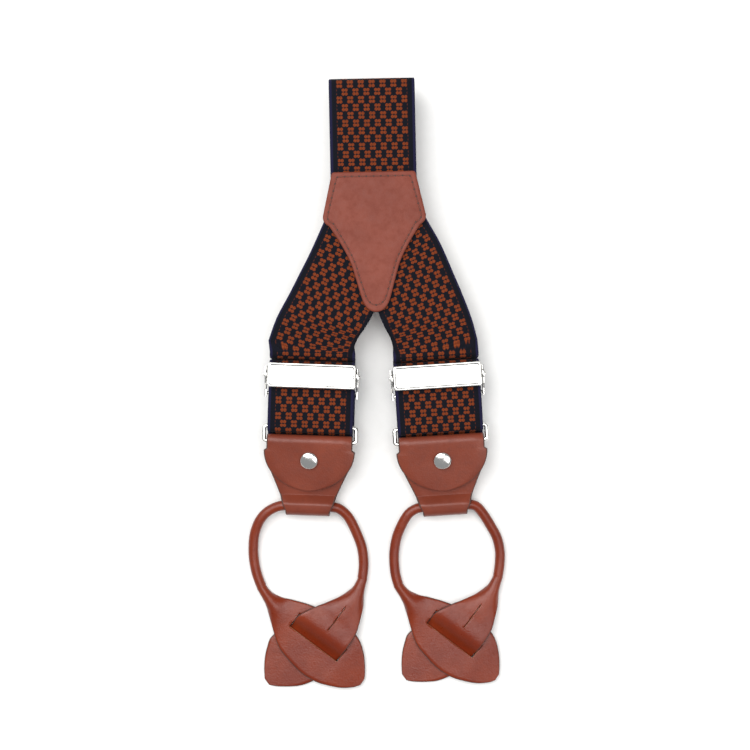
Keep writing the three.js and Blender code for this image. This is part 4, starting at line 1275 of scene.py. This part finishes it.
class SUSPENDERS_OT_stage(bpy.types.Operator):
    """Add the floor, the soft lights and the camera straight above"""

    bl_idname = "suspenders.stage"
    bl_label = "Build Stage"

    def execute(self, context):
        settings = scene_settings()
        corners = [(-600, -600, 0), (600, -600, 0), (600, 600, 0), (-600, 600, 0)]
        floor = mesh_object("pale floor", corners, [(0, 1, 2, 3)], [(0, 0)] * 4, [0], ["floor"],
                            Matrix.Identity(4))
        area_light("large softbox", (-0.35, 0.3, 0.7), (0.6, 0.6), settings.key_power)
        area_light("fill softbox", (0.45, -0.25, 0.6), (0.5, 0.5), settings.key_power * 0.35)
        area_light("top softbox", (0.0, 0.05, 1.1), (0.7, 0.7), settings.key_power * 1.2)
        world = bpy.data.worlds.new("even studio")
        world.use_nodes = True
        world.node_tree.nodes["Background"].inputs["Color"].default_value = linear("#e1e4e8")
        world.node_tree.nodes["Background"].inputs["Strength"].default_value = 0.42
        context.scene.world = world
        context.scene.view_settings.view_transform = "Standard"
        camera = bpy.data.cameras.new("camera")
        camera.lens = settings.lens
        camera.sensor_width = 36
        eye = bpy.data.objects.new("camera", camera)
        eye.location = (-0.0007, 0.0042, settings.camera_height)
        context.scene.collection.objects.link(eye)
        context.scene.camera = eye
        return {"FINISHED"}


class SUSPENDERS_PT_panel(bpy.types.Panel):
    """Lists the settings and the pieces in the sidebar"""

    bl_idname = "SUSPENDERS_PT_panel"
    bl_label = "Suspenders"
    bl_space_type = "VIEW_3D"
    bl_region_type = "UI"
    bl_category = "Suspenders"

    def draw(self, context):
        settings = context.scene.suspenders
        for name in ("left_leg_turn", "right_leg_turn", "camera_height", "lens", "key_power"):
            self.layout.prop(settings, name)
        for operator in OPERATORS:
            self.layout.operator(operator.bl_idname)


OPERATORS = (
    SUSPENDERS_OT_straps, SUSPENDERS_OT_yoke, SUSPENDERS_OT_adjusters, SUSPENDERS_OT_rings,
    SUSPENDERS_OT_leather_ends, SUSPENDERS_OT_loops, SUSPENDERS_OT_stage,
)
CLASSES = (SuspendersSettings, *OPERATORS, SUSPENDERS_PT_panel)


def register():
    for item in CLASSES:
        bpy.utils.register_class(item)
    bpy.types.Scene.suspenders = bpy.props.PointerProperty(type=SuspendersSettings)


def unregister():
    del bpy.types.Scene.suspenders
    for item in reversed(CLASSES):
        bpy.utils.unregister_class(item)


def main():
    register()
    bpy.ops.suspenders.straps()
    bpy.ops.suspenders.yoke()
    bpy.ops.suspenders.adjusters()
    bpy.ops.suspenders.rings()
    bpy.ops.suspenders.leather_ends()
    bpy.ops.suspenders.loops()
    bpy.ops.suspenders.stage()


if __name__ == "__main__":
    main()
